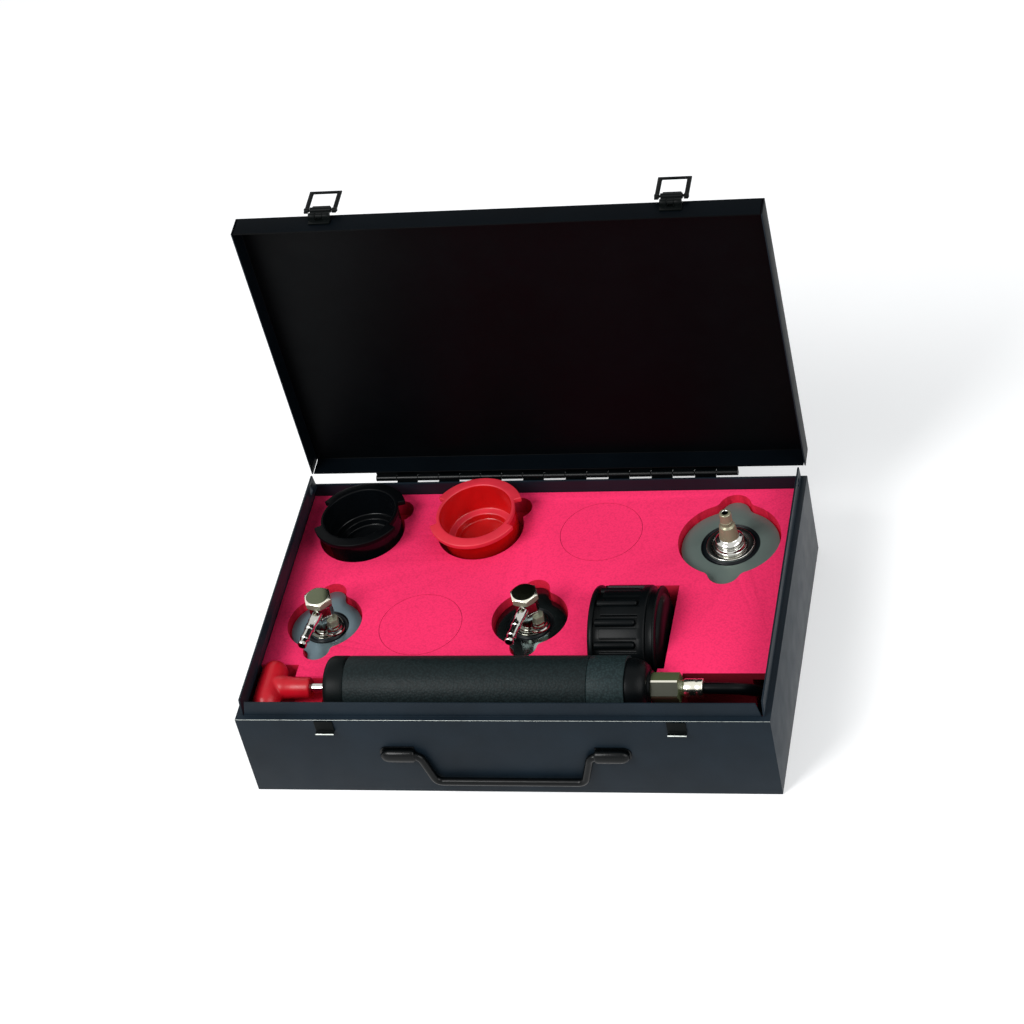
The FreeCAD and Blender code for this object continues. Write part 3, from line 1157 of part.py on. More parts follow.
def movement_block():
    """Block behind the dial that holds the stem's inner end and the pointer's staff."""
    low = DIAL_FRONT + DIAL_THICKNESS
    block = rod(STAFF_RADIUS + 3, on_gauge(low), on_gauge(GAUGE_BACK - GAUGE_CASE_WALL))
    bore = rod(STAFF_RADIUS + RUN_FIT, on_gauge(low - 1), on_gauge(low + 8))
    return block.cut(bore)


def gauge_stem():
    """Brass stem from the head into the gauge."""
    start = gauge_line(STEM_SEAT)
    end = gauge_line(GAUGE_REACH - BOURDON_RADIUS - BOURDON_TUBE_RADIUS)
    beyond = gauge_line(GAUGE_REACH)
    return rod(GAUGE_STEM_RADIUS, start, end).cut(rod(GAUGE_STEM_BORE, gauge_line(0), beyond))


def bourdon_tube():
    """Curved tube that starts at the stem and runs round the movement."""
    x = GAUGE_STEM_X - GAUGE_STEM_RADIUS / 3
    ring = Part.makeTorus(BOURDON_RADIUS, BOURDON_TUBE_RADIUS, V(0, 0, 0), Z_AXIS, -180, 180, BOURDON_SWEEP)
    ring.rotate(V(0, 0, 0), Y_AXIS, 90)
    ring.rotate(V(0, 0, 0), X_AXIS, GAUGE_TILT + 90)
    ring.translate(on_gauge(x))
    return ring


# ---- foam ------------------------------------------------------------------------------------------------
def pump_trough():
    """Channel for the whole pump, open upwards, and the room for the hose beside it."""
    over = FOAM_TOP + 1
    grip_end = THANDLE_X + THANDLE_GRIP_RADIUS + STROKE_IN + SEAT_GAP
    zones = [(-HALF_WIDTH, grip_end, THANDLE_GRIP_LENGTH / 2 + 2),
             (THANDLE_X, NECK_START - 1, THANDLE_STEM_RADIUS + 1.5),
             (NECK_START - 1, HEAD_END, CAP_RADIUS + TROUGH_GAP),
             (HEAD_END, NUT_END + 2, NUT_FLATS * 0.7)]
    cuts = []
    for x0, x1, radius in zones:
        cuts.append(rod(radius, on_pump(x0), on_pump(x1)))
        cuts.append(box(x0, x1, PUMP_Y - radius, PUMP_Y + radius, PUMP_Z, over + radius))
    cuts.append(box(NUT_END, HALF_WIDTH, -HALF_DEPTH, PUMP_Y + 4 * HOSE_RADIUS, HOSE_BOX_FLOOR, over))
    return cuts


def hose_bay():
    """Space under the foam for the coil and the coupler, and the way down to it for the hose."""
    x, y = COIL_CENTRE
    side = COIL_OUTER + 2
    floor = SHEET - 1
    waist = BOOT_END + BOOT_BACK_LENGTH + 4
    coil_top = COIL_LOW + 2 * HOSE_RADIUS
    bay_top = coil_top + 2 * COUPLER_RADIUS + 2
    box_rear = PUMP_Y + 4 * HOSE_RADIUS
    tail_end = route_point(TAIL_ROUTE[-1])
    return [box(waist, HALF_WIDTH, y - side, y + side, floor, bay_top),
            box(x - side, waist, y - side, y + side, floor, coil_top + 2),
            box(tail_end.x - COUPLER_LENGTH - 2, tail_end.x, tail_end.y - COUPLER_RADIUS - 1,
                tail_end.y + COUPLER_RADIUS + 1, floor, bay_top),
            box(HALF_WIDTH - 5 * HOSE_RADIUS, HALF_WIDTH, box_rear - 1, y, floor, FOAM_TOP - 6)]


def gauge_slot():
    """Upright slot for the boot."""
    radius = BOOT_RADIUS + 2.5
    slot = box(GAUGE_X - 1, BOOT_END + BOOT_BACK_LENGTH + 3, GAUGE_Y - radius, GAUGE_Y + radius,
               GAUGE_Z - BOOT_RADIUS - SEAT_GAP, FOAM_TOP + 1)
    way = rod(GAUGE_STEM_RADIUS + 4, gauge_line(0), gauge_line(GAUGE_REACH))
    up = box(GAUGE_STEM_X - GAUGE_STEM_RADIUS - 4, GAUGE_STEM_X + GAUGE_STEM_RADIUS + 4, PUMP_Y, GAUGE_Y,
             GAUGE_Z, FOAM_TOP + 1)
    return [slot, way, up]


def circle_slit(place):
    """Shallow slit round a circle that has not been pushed out."""
    x, y = place
    return pipe(CIRCLE_RADIUS + CIRCLE_SLIT / 2, CIRCLE_RADIUS - CIRCLE_SLIT / 2,
                V(x, y, FOAM_TOP - CIRCLE_SLIT_DEPTH), V(x, y, FOAM_TOP + 1))


def foam_insert():
    """Foam block with its cut-outs."""
    half_x = HALF_WIDTH - SHEET - SEAT_GAP
    half_y = HALF_DEPTH - SHEET - SEAT_GAP
    block = box(-half_x, half_x, -half_y, half_y, FOAM_FLOOR, FOAM_TOP)
    cuts = pump_trough() + hose_bay() + gauge_slot()
    cuts += [circle_slit(from_right_rear(setback)) for setback in CIRCLE_SETBACKS]
    cuts += [cup_pocket(from_left_rear(values[:2]), values[2]) for values in CUPS.values()]
    cuts.append(plate_cut_out(STRAIGHT_PLACE, STRAIGHT_RADIUS, STRAIGHT_EAR_REACH, STRAIGHT_EAR_RADIUS,
                              STRAIGHT_EAR_BLEND, STRAIGHT_WELL_RADIUS))
    for place in ELBOW_PLACES.values():
        cuts.append(plate_cut_out(place, ELBOW_RADIUS, ELBOW_EAR_REACH, ELBOW_EAR_RADIUS,
                                  ELBOW_EAR_BLEND, ELBOW_WELL_RADIUS))
    return block.cut(cuts)


# ---- write the nodes ---------------------------------------------------------------------------------------
def write_case():
    """Case, hinge, latches and handle."""
    save("case_base", case_base())
    save("foam_insert", foam_insert())
    save("hinge_leaf_base", hinge_leaf_base())
    save("hinge_pin", hinge_pin())
    save("latch_keepers", Part.makeCompound([keeper(-LATCH_X), keeper(LATCH_X)]))
    save("handle_saddles", mirrored_pair(handle_saddle()))
    save("handle_bail", handle_bail())
    save("lid_shell", lid_shell())
    save("hinge_leaf_lid", hinge_leaf_lid())
    save("latch_lugs", opened(Part.makeCompound([latch_lug(-LATCH_X), latch_lug(LATCH_X)])))
    for side, x in (("left", -LATCH_X), ("right", LATCH_X)):
        save("latch_lever_" + side, opened(latch_lever(x)))
        save("latch_pin_" + side, opened(latch_pin(x)))
        save("latch_loop_" + side, opened(latch_loop(x)))


def write_pump():
    """Pump, hose and gauge."""
    pieces = {"pump_front_cap": front_cap, "rod_bush": rod_bush, "pump_barrel": pump_barrel,
              "pump_grip": pump_grip, "pump_end_ring": pump_end_ring, "pump_head": pump_head,
              "valve_ball": valve_ball, "valve_spring": valve_spring, "hose_nut": hose_nut,
              "hose_ferrule": hose_ferrule, "pump_rod": pump_rod, "piston": piston,
              "piston_seal": piston_seal, "piston_nut": piston_nut, "t_handle": t_handle,
              "hose_coil": hose_coil, "coupler_body": coupler_body, "coupler_sleeve": coupler_sleeve,
              "gauge_boot": gauge_boot, "gauge_case": gauge_case, "gauge_lens": gauge_lens,
              "gauge_dial": gauge_dial, "gauge_pointer": gauge_pointer, "gauge_movement": movement_block,
              "gauge_stem": gauge_stem, "bourdon_tube": bourdon_tube}
    for name, maker in pieces.items():
        save(name, maker())
    save("hose_run", hose_run(HOSE_ROUTE))
    save("hose_tail", hose_run(TAIL_ROUTE))


def write_adapters():
    """Cups and cap adapters."""
    for name, (inset, setback, lean, turn) in CUPS.items():
        save(name, cup(from_left_rear((inset, setback)), lean, turn))
    save("straight_plate", cap_plate(STRAIGHT_PLACE, STRAIGHT_RADIUS, STRAIGHT_EAR_REACH,
                                     STRAIGHT_EAR_RADIUS, STRAIGHT_EAR_BLEND, STRAIGHT_HUB_RADIUS))
    save("straight_stem", straight_stem())
    save("straight_gasket", gasket(STRAIGHT_PLACE, STRAIGHT_HUB_RADIUS))
    for side, place in ELBOW_PLACES.items():
        save(side + "_plate", cap_plate(place, ELBOW_RADIUS, ELBOW_EAR_REACH, ELBOW_EAR_RADIUS,
                                        ELBOW_EAR_BLEND, ELBOW_HUB_RADIUS))
        save(side + "_stem", elbow_stem(place))
        save(side + "_gasket", gasket(place, ELBOW_HUB_RADIUS))
        save(side + "_banjo", banjo(place, ELBOW_NIPPLE_ANGLE[side]))
        save(side + "_bolt", banjo_bolt(place))


def main():
    """Build every node."""
    os.makedirs("parts", exist_ok=True)
    write_case()
    write_pump()
    write_adapters()


main()
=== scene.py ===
"""Radiator pressure tester lying in its open steel case.

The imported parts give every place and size; the pieces here are their finished surfaces.
Lengths in the tables are in millimetres and are scaled once, by MM.
"""
import bpy
import bmesh
import math
from mathutils import Matrix, Vector


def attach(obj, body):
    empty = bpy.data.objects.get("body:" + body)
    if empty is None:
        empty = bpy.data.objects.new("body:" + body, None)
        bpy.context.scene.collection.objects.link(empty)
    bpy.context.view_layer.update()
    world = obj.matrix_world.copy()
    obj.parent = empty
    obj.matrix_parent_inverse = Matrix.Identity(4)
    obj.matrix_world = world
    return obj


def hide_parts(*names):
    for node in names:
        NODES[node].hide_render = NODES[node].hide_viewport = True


bl_info = {
    "name": "Radiator Pressure Tester",
    "version": (1, 0, 0),
    "blender": (4, 5, 0),
    "location": "View3D > Sidebar > Pressure Tester",
    "description": "Builds the finished pieces of a radiator pressure tester in its case",
    "category": "Object",
}

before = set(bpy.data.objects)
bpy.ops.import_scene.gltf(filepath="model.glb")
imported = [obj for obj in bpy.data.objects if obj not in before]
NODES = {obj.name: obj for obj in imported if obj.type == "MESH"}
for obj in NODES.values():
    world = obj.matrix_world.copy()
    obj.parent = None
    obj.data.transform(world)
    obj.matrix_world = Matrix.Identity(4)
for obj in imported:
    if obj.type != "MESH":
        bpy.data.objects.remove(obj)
MM = 0.001


# ---- small tools ---------------------------------------------------------------------------------
def select_none():
    """Leave nothing selected."""
    bpy.ops.object.select_all(action="DESELECT")


def select_only(obj):
    """Select one object and make it the active one."""
    select_none()
    obj.select_set(True)
    bpy.context.view_layer.objects.active = obj


def edit(obj):
    """Go into edit mode on one object."""
    select_only(obj)
    bpy.ops.object.mode_set(mode="EDIT")


def leave():
    """Go back to object mode, ready to select points again."""
    bpy.ops.mesh.select_mode(type="VERT")
    bpy.ops.object.mode_set(mode="OBJECT")


def choose(obj, kind, test):
    """In edit mode, select the faces, edges or points that pass a test."""
    bpy.ops.mesh.select_mode(type=kind)
    bpy.ops.mesh.select_all(action="DESELECT")
    grid = bmesh.from_edit_mesh(obj.data)
    for item in {"FACE": grid.faces, "EDGE": grid.edges, "VERT": grid.verts}[kind]:
        if test(item):
            item.select_set(True)
    grid.select_flush_mode()
    bmesh.update_edit_mesh(obj.data)


def face_outwards(obj):
    """Merge doubled points and turn all faces outwards."""
    edit(obj)
    bpy.ops.mesh.select_all(action="SELECT")
    bpy.ops.mesh.remove_doubles(threshold=1e-6)
    bpy.ops.mesh.normals_make_consistent(inside=False)
    leave()


def named(name):
    """Name the object that was just added."""
    obj = bpy.context.object
    obj.name = name
    obj.data.name = name
    return obj


def put(obj, place):
    """Move a finished mesh to its place and leave its object at the origin."""
    select_only(obj)
    obj.matrix_world = place
    bpy.ops.object.transform_apply(location=True, rotation=True, scale=True)
    return obj


def add_object(name, data):
    """New object, linked to the scene."""
    obj = bpy.data.objects.new(name, data)
    bpy.context.scene.collection.objects.link(obj)
    return obj


def turn_about(axis, degrees):
    """Turn about an axis through the origin."""
    return Matrix.Rotation(math.radians(degrees), 4, axis)


def along_x(y, z):
    """Place of turned work that lies along X."""
    return upright(0.0, y, z) @ turn_about("Y", 90)


def upright(x, y, z=0.0):
    """Place of work that stands on a point."""
    return Matrix.Translation((x * MM, y * MM, z * MM))


def modify(obj, kind, **settings):
    """Add one modifier and apply it."""
    select_only(obj)
    modifier = obj.modifiers.new(kind.lower(), kind)
    for name, value in settings.items():
        setattr(modifier, name, value)
    bpy.ops.object.modifier_apply(modifier=modifier.name)
    return obj


def round_edges(obj, width, segments=2, angle=35.0):
    """Bevel the edges that turn by more than an angle; width is in millimetres."""
    return modify(obj, "BEVEL", width=width * MM, segments=segments, limit_method="ANGLE",
                  angle_limit=math.radians(angle), miter_outer="MITER_ARC")


def carve(obj, tool, operation="DIFFERENCE"):
    """Cut, join or keep common with another mesh, which is used up."""
    modify(obj, "BOOLEAN", object=tool, operation=operation, solver="EXACT")
    bpy.data.objects.remove(tool)
    return obj


def block(name, low, high):
    """Box between two corners."""
    select_none()
    middle = [(a + b) / 2 * MM for a, b in zip(low, high)]
    bpy.ops.mesh.primitive_cube_add(size=1.0, location=middle)
    obj = named(name)
    obj.scale = [(b - a) * MM for a, b in zip(low, high)]
    bpy.ops.object.transform_apply(location=True, rotation=True, scale=True)
    return obj


def post(name, radius, start, end, sides=64):
    """Cylinder from one point to another."""
    select_none()
    start, end = Vector(start) * MM, Vector(end) * MM
    axis = end - start
    bpy.ops.mesh.primitive_cylinder_add(vertices=sides, radius=radius * MM, depth=axis.length)
    turn = axis.to_track_quat("Z", "Y").to_matrix().to_4x4()
    return put(named(name), Matrix.Translation((start + end) / 2) @ turn)


def drill(obj, radius, centre, low, high, sides=48):
    """Cut a round hole that stands upright."""
    return carve(obj, post("hole", radius, (*centre, low), (*centre, high), sides))


def drawn_rings(name, points, steps, fill_type):
    """Circle extruded and scaled along Z from one (along, radius) pair to the next."""
    select_none()
    along, radius = points[0]
    bpy.ops.mesh.primitive_circle_add(vertices=steps, radius=radius * MM, fill_type=fill_type)
    obj = named(name)
    bpy.ops.object.mode_set(mode="EDIT")
    bpy.ops.mesh.select_all(action="SELECT")
    bpy.ops.transform.translate(value=(0.0, 0.0, along * MM))
    for next_along, next_radius in points[1:]:
        bpy.ops.mesh.extrude_region_move(
            TRANSFORM_OT_translate={"value": (0.0, 0.0, (next_along - along) * MM)})
        scale = next_radius / radius
        bpy.ops.transform.resize(value=(scale, scale, 1.0),
                                 center_override=(0.0, 0.0, next_along * MM))
        along, radius = next_along, next_radius
    leave()
    return obj


def turned(name, profile, place, steps=96):
    """Lathe work along Z from (along, radius) pairs.

    A profile that starts on the axis is solid. Any other closes on itself round a bore.
    """
    solid = profile[0][1] == 0
    points = profile[1:-1] if solid else profile + profile[:1]
    obj = drawn_rings(name, points, steps, "NGON" if solid else "NOTHING")
    face_outwards(obj)
    return put(obj, place)


def hexagon(name, flats, low, high, place, turn=0.0, crown=0.55):
    """Hexagonal bar with turned chamfers on both ends."""
    corner = flats / math.sqrt(3)
    bevel = (corner - flats / 2) * crown
    bar = post(name, corner, (0, 0, low), (0, 0, high), 6)
    put(bar, turn_about("Z", turn))
    end, side = corner - bevel * 1.6, corner + 0.1
    profile = [(low, 0), (low, end), (low + bevel, side), (high - bevel, side), (high, end),
               (high, 0)]
    carve(bar, turned("rounds", profile, Matrix(), 72), "INTERSECT")
    return put(bar, place)


def eared_reach(angle, radius, reach, ear, blend):
    """Distance to the outline of a disc with two rounded ears along Y, at an angle."""
    ear_y = reach - ear
    blend_y = ((radius + blend) ** 2 - (ear + blend) ** 2 + ear_y ** 2) / (2 * ear_y)
    blend_x = math.sqrt((radius + blend) ** 2 - blend_y ** 2)
    from_y = math.asin(min(1.0, abs(math.cos(angle))))
    share = ear / (ear + blend)
    ear_end = math.atan2(blend_x * share, ear_y + (blend_y - ear_y) * share)
    disc_start = math.atan2(blend_x, blend_y)
    if from_y <= ear_end:
        aside = ear_y * math.sin(from_y)
        return ear_y * math.cos(from_y) + math.sqrt(max(0.0, ear ** 2 - aside ** 2))
    if from_y < disc_start:
        away = math.hypot(blend_x, blend_y)
        off = disc_start - from_y
        aside = away * math.sin(off)
        return away * math.cos(off) - math.sqrt(max(0.0, blend ** 2 - aside ** 2))
    return radius


def stretch_to_ears(obj, inner, sizes):
    """Move the points beyond an inner radius out to the eared outline, in proportion."""
    radius = sizes[0]
    for vertex in obj.data.vertices:
        x, y, z = vertex.co / MM
        distance = math.hypot(x, y)
        if distance > inner + 1e-4:
            angle = math.atan2(y, x)
            share = (distance - inner) / (radius - inner)
            target = inner + share * (eared_reach(angle, *sizes) - inner)
            vertex.co = Vector((target * math.cos(angle), target * math.sin(angle), z)) * MM


def eared_blank(name, place, sizes, low, high):
    """Block with the eared outline, used to cut the foam."""
    blank = turned(name, [(low, 0), (low, sizes[0]), (high, sizes[0]), (high, 0)], Matrix(), 160)
    stretch_to_ears(blank, 0.0, sizes)
    return put(blank, upright(*place))


def soft_copy(node, name, width, segments=2, angle=30.0):
    """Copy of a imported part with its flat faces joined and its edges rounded."""
    piece = add_object(name, NODES[node].data.copy())
    piece.data.name = name
    edit(piece)
    bpy.ops.mesh.select_all(action="SELECT")
    bpy.ops.mesh.remove_doubles(threshold=1e-5)
    bpy.ops.mesh.dissolve_limited(angle_limit=math.radians(1.0))
    leave()
    return round_edges(piece, width, segments, angle)


def finish_piece(obj, body, finish, nodes=(), angle=40.0):
    """Smooth, paint and hang a piece on its body, in place of its nodes."""
    select_only(obj)
    bpy.ops.object.shade_smooth_by_angle(angle=math.radians(angle))
    obj.data.materials.clear()
    obj.data.materials.append(MATERIALS[finish])
    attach(obj, body)
    if nodes:
        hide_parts(*nodes)
    return obj


# ---- materials -----------------------------------------------------------------------------------
def add_node(tree, kind, **sockets):
    """Shader node with some inputs set; a socket's name has _ for a blank."""
    node = tree.nodes.new("ShaderNode" + kind)
    for socket, value in sockets.items():
        node.inputs[socket.replace("_", " ")].default_value = value
    return node


class Finish:
    """One material's node tree, with short ways to add nodes and join them."""

    def __init__(self, name, colour, roughness, metallic=0.0, **sockets):
        self.material = bpy.data.materials.new(name)
        self.material.use_nodes = True
        self.tree = self.material.node_tree
        self.shader = self.tree.nodes["Principled BSDF"]
        self.shader.inputs["Base Color"].default_value = (*colour, 1.0)
        self.shader.inputs["Roughness"].default_value = roughness
        self.shader.inputs["Metallic"].default_value = metallic
        for socket, value in sockets.items():
            self.shader.inputs[socket.replace("_", " ")].default_value = value
        self.place = add_node(self.tree, "TexCoord").outputs["Object"]

    def join(self, source, target):
        """Link an output to an input."""
        self.tree.links.new(source, target)

    def stretched(self, scale):
        """Object coordinates scaled along X, Y and Z, per metre."""
        node = add_node(self.tree, "Mapping", Scale=scale)
        self.join(self.place, node.inputs["Vector"])
        return node.outputs["Vector"]

    def noise(self, scale, detail=3.0, rough=0.5, vector=None):
        """Noise value on object coordinates; scale is per metre."""
        node = add_node(self.tree, "TexNoise", Scale=scale, Detail=detail, Roughness=rough)
        self.join(vector or self.place, node.inputs["Vector"])
        return node.outputs["Fac"]

    def cells(self, scale):
        """Distance to the nearest of scattered points; scale is per metre."""
        node = add_node(self.tree, "TexVoronoi", Scale=scale)
        self.join(self.place, node.inputs["Vector"])
        return node.outputs["Distance"]

    def ramp(self, value, stops):
        """Colour ramp of (position, colour) pairs, a colour being a grey or three numbers."""
        node = add_node(self.tree, "ValToRGB")
        for element, (position, colour) in zip(node.color_ramp.elements, stops):
            element.position = position
            shades = (colour,) * 3 if isinstance(colour, float) else colour
            element.color = (*shades, 1.0)
        self.join(value, node.inputs["Fac"])
        return node.outputs["Color"]

    def mix(self, factor, first, second):
        """Mix of two colour outputs."""
        node = add_node(self.tree, "Mix")
        node.data_type = "RGBA"
        for source, socket in ((factor, node.inputs["Factor"]), (first, node.inputs[6]),
                               (second, node.inputs[7])):
            self.join(source, socket)
        return node.outputs[2]

    def colour(self, output):
        """Use an output as the base colour."""
        self.join(output, self.shader.inputs["Base Color"])

    def rough(self, output, low, high):
        """Spread a value from 0 to 1 over a range of roughness."""
        node = add_node(self.tree, "MapRange", To_Min=low, To_Max=high)
        self.join(output, node.inputs["Value"])
        self.join(node.outputs["Result"], self.shader.inputs["Roughness"])

    def bump(self, height, distance, strength=1.0):
        """Bump from a height value; distance is in millimetres. A second call adds to the first."""
        node = add_node(self.tree, "Bump", Distance=distance * MM, Strength=strength)
        self.join(height, node.inputs["Height"])
        target = self.shader.inputs["Normal"]
        if target.is_linked:
            self.join(target.links[0].from_socket, node.inputs["Normal"])
        self.join(node.outputs["Normal"], target)


def shaded(tone, share):
    """Colour made lighter or darker by a share."""
    return tuple(min(1.0, value * share) for value in tone)


def linear(red, green, blue):
    """Scene colour from screen values of 0 to 255."""
    values = []
    for value in (red, green, blue):
        share = value / 255.0
        values.append(share / 12.92 if share <= 0.04045 else ((share + 0.055) / 1.055) ** 2.4)
    return tuple(values)


def case_paint(name, tone, gloss):
    """Dark stove enamel with a fine orange-peel texture and soft blotches."""
    finish = Finish(name, tone, 0.42, Specular_IOR_Level=gloss)
    blotch = finish.noise(16.0, 5.0, 0.6)
    finish.colour(finish.ramp(blotch, [(0.3, shaded(tone, 0.74)), (0.7, shaded(tone, 1.25))]))
    finish.rough(finish.noise(60.0), 0.34, 0.52)
    finish.bump(finish.noise(1300.0, 2.0), 0.05, 0.5)
    return finish.material


def worn_edge(name, tone):
    """Painted highlight along a bend, laid on as short bright dashes of bare-looking steel."""
    finish = Finish(name, tone, 0.35, 0.5)
    dashes = finish.noise(1.0, 3.0, 0.7, finish.stretched((260.0, 900.0, 900.0)))
    finish.colour(finish.ramp(dashes, [(0.34, shaded(tone, 0.2)), (0.46, tone)]))
    finish.rough(dashes, 0.25, 0.5)
    finish.bump(finish.noise(1200.0, 2.0), 0.05, 0.6)
    return finish.material


def foam_finish(name, tone):
    """Dyed closed-cell foam: fine cells, a faint nap and slow changes of shade."""
    finish = Finish(name, tone, 0.95, Specular_IOR_Level=0.1)
    shade = finish.noise(7.0, 3.0)
    speck = finish.cells(700.0)
    soft = finish.ramp(shade, [(0.3, shaded(tone, 0.95)), (0.7, shaded(tone, 1.06))])
    dark = finish.ramp(shade, [(0.3, shaded(tone, 0.80)), (0.7, shaded(tone, 0.90))])
    finish.colour(finish.mix(finish.ramp(speck, [(0.35, 0.0), (0.95, 1.0)]), soft, dark))
    finish.bump(speck, 0.16, 0.4)
    finish.bump(finish.noise(260.0, 3.0), 0.3, 0.35)
    return finish.material


def plastic(name, tone, roughness, gloss=0.5):
    """Moulded plastic with faint flow marks."""
    finish = Finish(name, tone, roughness, Specular_IOR_Level=gloss)
    flow = finish.noise(70.0, 3.0)
    finish.colour(finish.ramp(flow, [(0.3, shaded(tone, 0.88)), (0.7, shaded(tone, 1.1))]))
    finish.rough(finish.noise(160.0), roughness * 0.8, roughness * 1.35)
    finish.bump(finish.noise(900.0, 2.0), 0.02, 0.5)
    return finish.material


def rubber(name, tone, roughness, gloss=0.2):
    """Rubber with a dusty bloom and a fine grain."""
    finish = Finish(name, tone, roughness, Specular_IOR_Level=gloss)
    bloom = finish.noise(45.0, 5.0)
    finish.colour(finish.ramp(bloom, [(0.35, shaded(tone, 0.85)), (0.75, shaded(tone, 1.5))]))
    finish.rough(bloom, roughness * 0.85, roughness * 1.15)
    finish.bump(finish.noise(1400.0, 2.0), 0.06, 0.6)
    return finish.material


def leather_grain(name, tone):
    """Moulded grip with an even leather grain of raised pebbles."""
    finish = Finish(name, tone, 0.5, Specular_IOR_Level=0.12)
    pebbles = finish.cells(620.0)
    finish.colour(finish.ramp(pebbles, [(0.2, shaded(tone, 1.35)), (0.7, shaded(tone, 0.75))]))
    finish.rough(finish.noise(90.0), 0.5 * 0.85, 0.5 * 1.15)
    finish.bump(pebbles, -0.22, 0.6)
    finish.bump(finish.noise(1500.0, 2.0), 0.04, 0.5)
    return finish.material


def metal(name, tone, roughness, metallic=1.0):
    """Metal with faint tool marks and stains."""
    finish = Finish(name, tone, roughness, metallic)
    marks = finish.noise(1.0, 4.0, 0.6, finish.stretched((90.0, 90.0, 90.0)))
    stains = finish.noise(40.0, 4.0)
    finish.colour(finish.ramp(stains, [(0.3, shaded(tone, 0.88)), (0.7, tone)]))
    finish.rough(marks, roughness * 0.75, roughness * 1.3)
    finish.bump(marks, 0.01, 0.25)
    return finish.material


def clear_plastic(name):
    """Clear lens."""
    finish = Finish(name + "_clear", (0.95, 0.97, 0.97), 0.04, Transmission_Weight=1.0,
                    IOR=1.49)
    finish.rough(finish.noise(50.0), 0.03, 0.07)
    return finish.material


MATERIALS = {}


def make_materials(scene):
    """All finishes, by the names that the pieces use: how each is made, its tone and its gloss."""
    case, foam, pump = scene.tester_case, scene.tester_foam, scene.tester_pump
    cups, adapters = scene.tester_cups, scene.tester_adapters
    recipes = {
        "case_paint": (case_paint, case.paint, 0.12),
        # Case paint made nearly black for the lid's inside panel: painted shade.
        "lid_paint": (case_paint, case.inside, 0.04),
        # Case paint darkened for the lid's sides and upward faces: painted shade.
        "lid_edge": (case_paint, shaded(case.paint, 0.2), 0.03),
        # Bright dashes for the pan's front bend and the keepers: a painted highlight.
        "worn_edge": (worn_edge, linear(220, 226, 220)),
        "black_steel": (plastic, linear(3, 5, 6), 0.22, 0.16),
        "latch_steel": (case_paint, linear(4, 7, 7), 0.07),
        "foam": (foam_finish, foam.colour),
        # Darker foam for the cut-outs' walls and floors, and darker still in the hose's bay:
        # painted shade.
        "foam_cut": (foam_finish, foam.cut),
        "foam_deep": (foam_finish, shaded(foam.cut, 0.2)),
        "red_plastic": (plastic, cups.red, 0.2, 0.5),
        # Lighter red for the red cup's rim and ledge: painted highlight.
        "red_rim": (plastic, cups.red_rim, 0.4, 0.4),
        "handle_red": (plastic, pump.handle, 0.34, 0.35),
        "black_plastic": (plastic, cups.black, 0.16, 0.2),
        # Darker, rougher black for the black cup's rim and ledge: painted shade.
        "black_rim": (plastic, shaded(cups.black, 0.6), 0.4, 0.06),
        "grip_plastic": (leather_grain, pump.grip),
        "cap_plastic": (rubber, shaded(pump.grip, 0.3), 0.45, 0.08),
        "ring_plastic": (leather_grain, shaded(pump.grip, 1.9)),
        "boot_rubber": (rubber, scene.tester_gauge.rubber, 0.36, 0.08),
        "hose_rubber": (rubber, linear(2, 4, 5), 0.36, 0.1),
        "seal_rubber": (rubber, linear(12, 12, 12), 0.6),
        "satin_steel": (metal, adapters.satin, 0.36, 0.5),
        "blue_steel": (metal, linear(112, 132, 140), 0.34, 0.7),
        "dark_plate": (metal, linear(104, 118, 118), 0.16),
        # Near-black for the plates' pressed grooves: painted shade.
        "groove_steel": (plastic, linear(13, 18, 21), 0.3, 0.2),
        "chrome_steel": (metal, adapters.chrome, 0.1),
        "stem_steel": (metal, linear(138, 136, 112), 0.26, 0.35),
        "dark_chrome": (metal, linear(108, 108, 100), 0.12),
        "nickel_brass": (metal, adapters.nickel, 0.16),
        # Bright nickel: the ferrule's own finish, and painted highlights on the nut and on the bolt
        # heads' chamfers.
        "bright_nickel": (metal, linear(240, 238, 222), 0.2),
        # Pale satin nickel: the bleed screw's own finish, and painted light on the sides of the
        # bolt heads.
        "satin_nickel": (metal, linear(128, 130, 112), 0.45, 0.4),
        "nut_nickel": (metal, linear(86, 96, 64), 0.4, 0.4),
        # Dark nickel for the nut's faces turned to the front: painted shade.
        "dark_nickel": (metal, linear(34, 37, 20), 0.5, 0.2),
        "plain_brass": (metal, linear(214, 176, 96), 0.25),
        "lens": (clear_plastic,),
        "dial_paint": (plastic, linear(236, 236, 230), 0.5),
    }
    for name, (make, *sizes) in recipes.items():
        MATERIALS[name] = make(name, *sizes)


# ---- stage ---------------------------------------------------------------------------------------
CAMERA_PLACE = (0.51133, -1.44885, 1.50302)
CAMERA_X = (0.96873622, 0.17149299, -0.17927712)
CAMERA_Y = (0.01360907, 0.68480008, 0.72860391)
CAMERA_Z = (0.24771945, -0.70826479, 0.66105678)
FOCAL_PIXELS = 3013.907
FRAME_PIXELS = 1024.0
SENSOR = 36.0                 # width in millimetres
SKY_TINT = (0.93, 0.97, 1.0, 1.0)
WHITE = (1.0, 1.0, 1.0, 1.0)
FLOOR_WIDTH, FLOOR_DROP = 14.0, 0.0004
FLOOR_GLOW = 0.3
LAMPS = {"key": ((-1.2, -1.4, 1.9), 1.2), "fill": ((1.6, -0.6, 1.2), 1.4)}   # place and width
LAMP_AIM = (0.0, 0.0, 0.05)
SEEN_RAYS = ("Is Camera Ray", "Is Glossy Ray", "Is Transmission Ray")


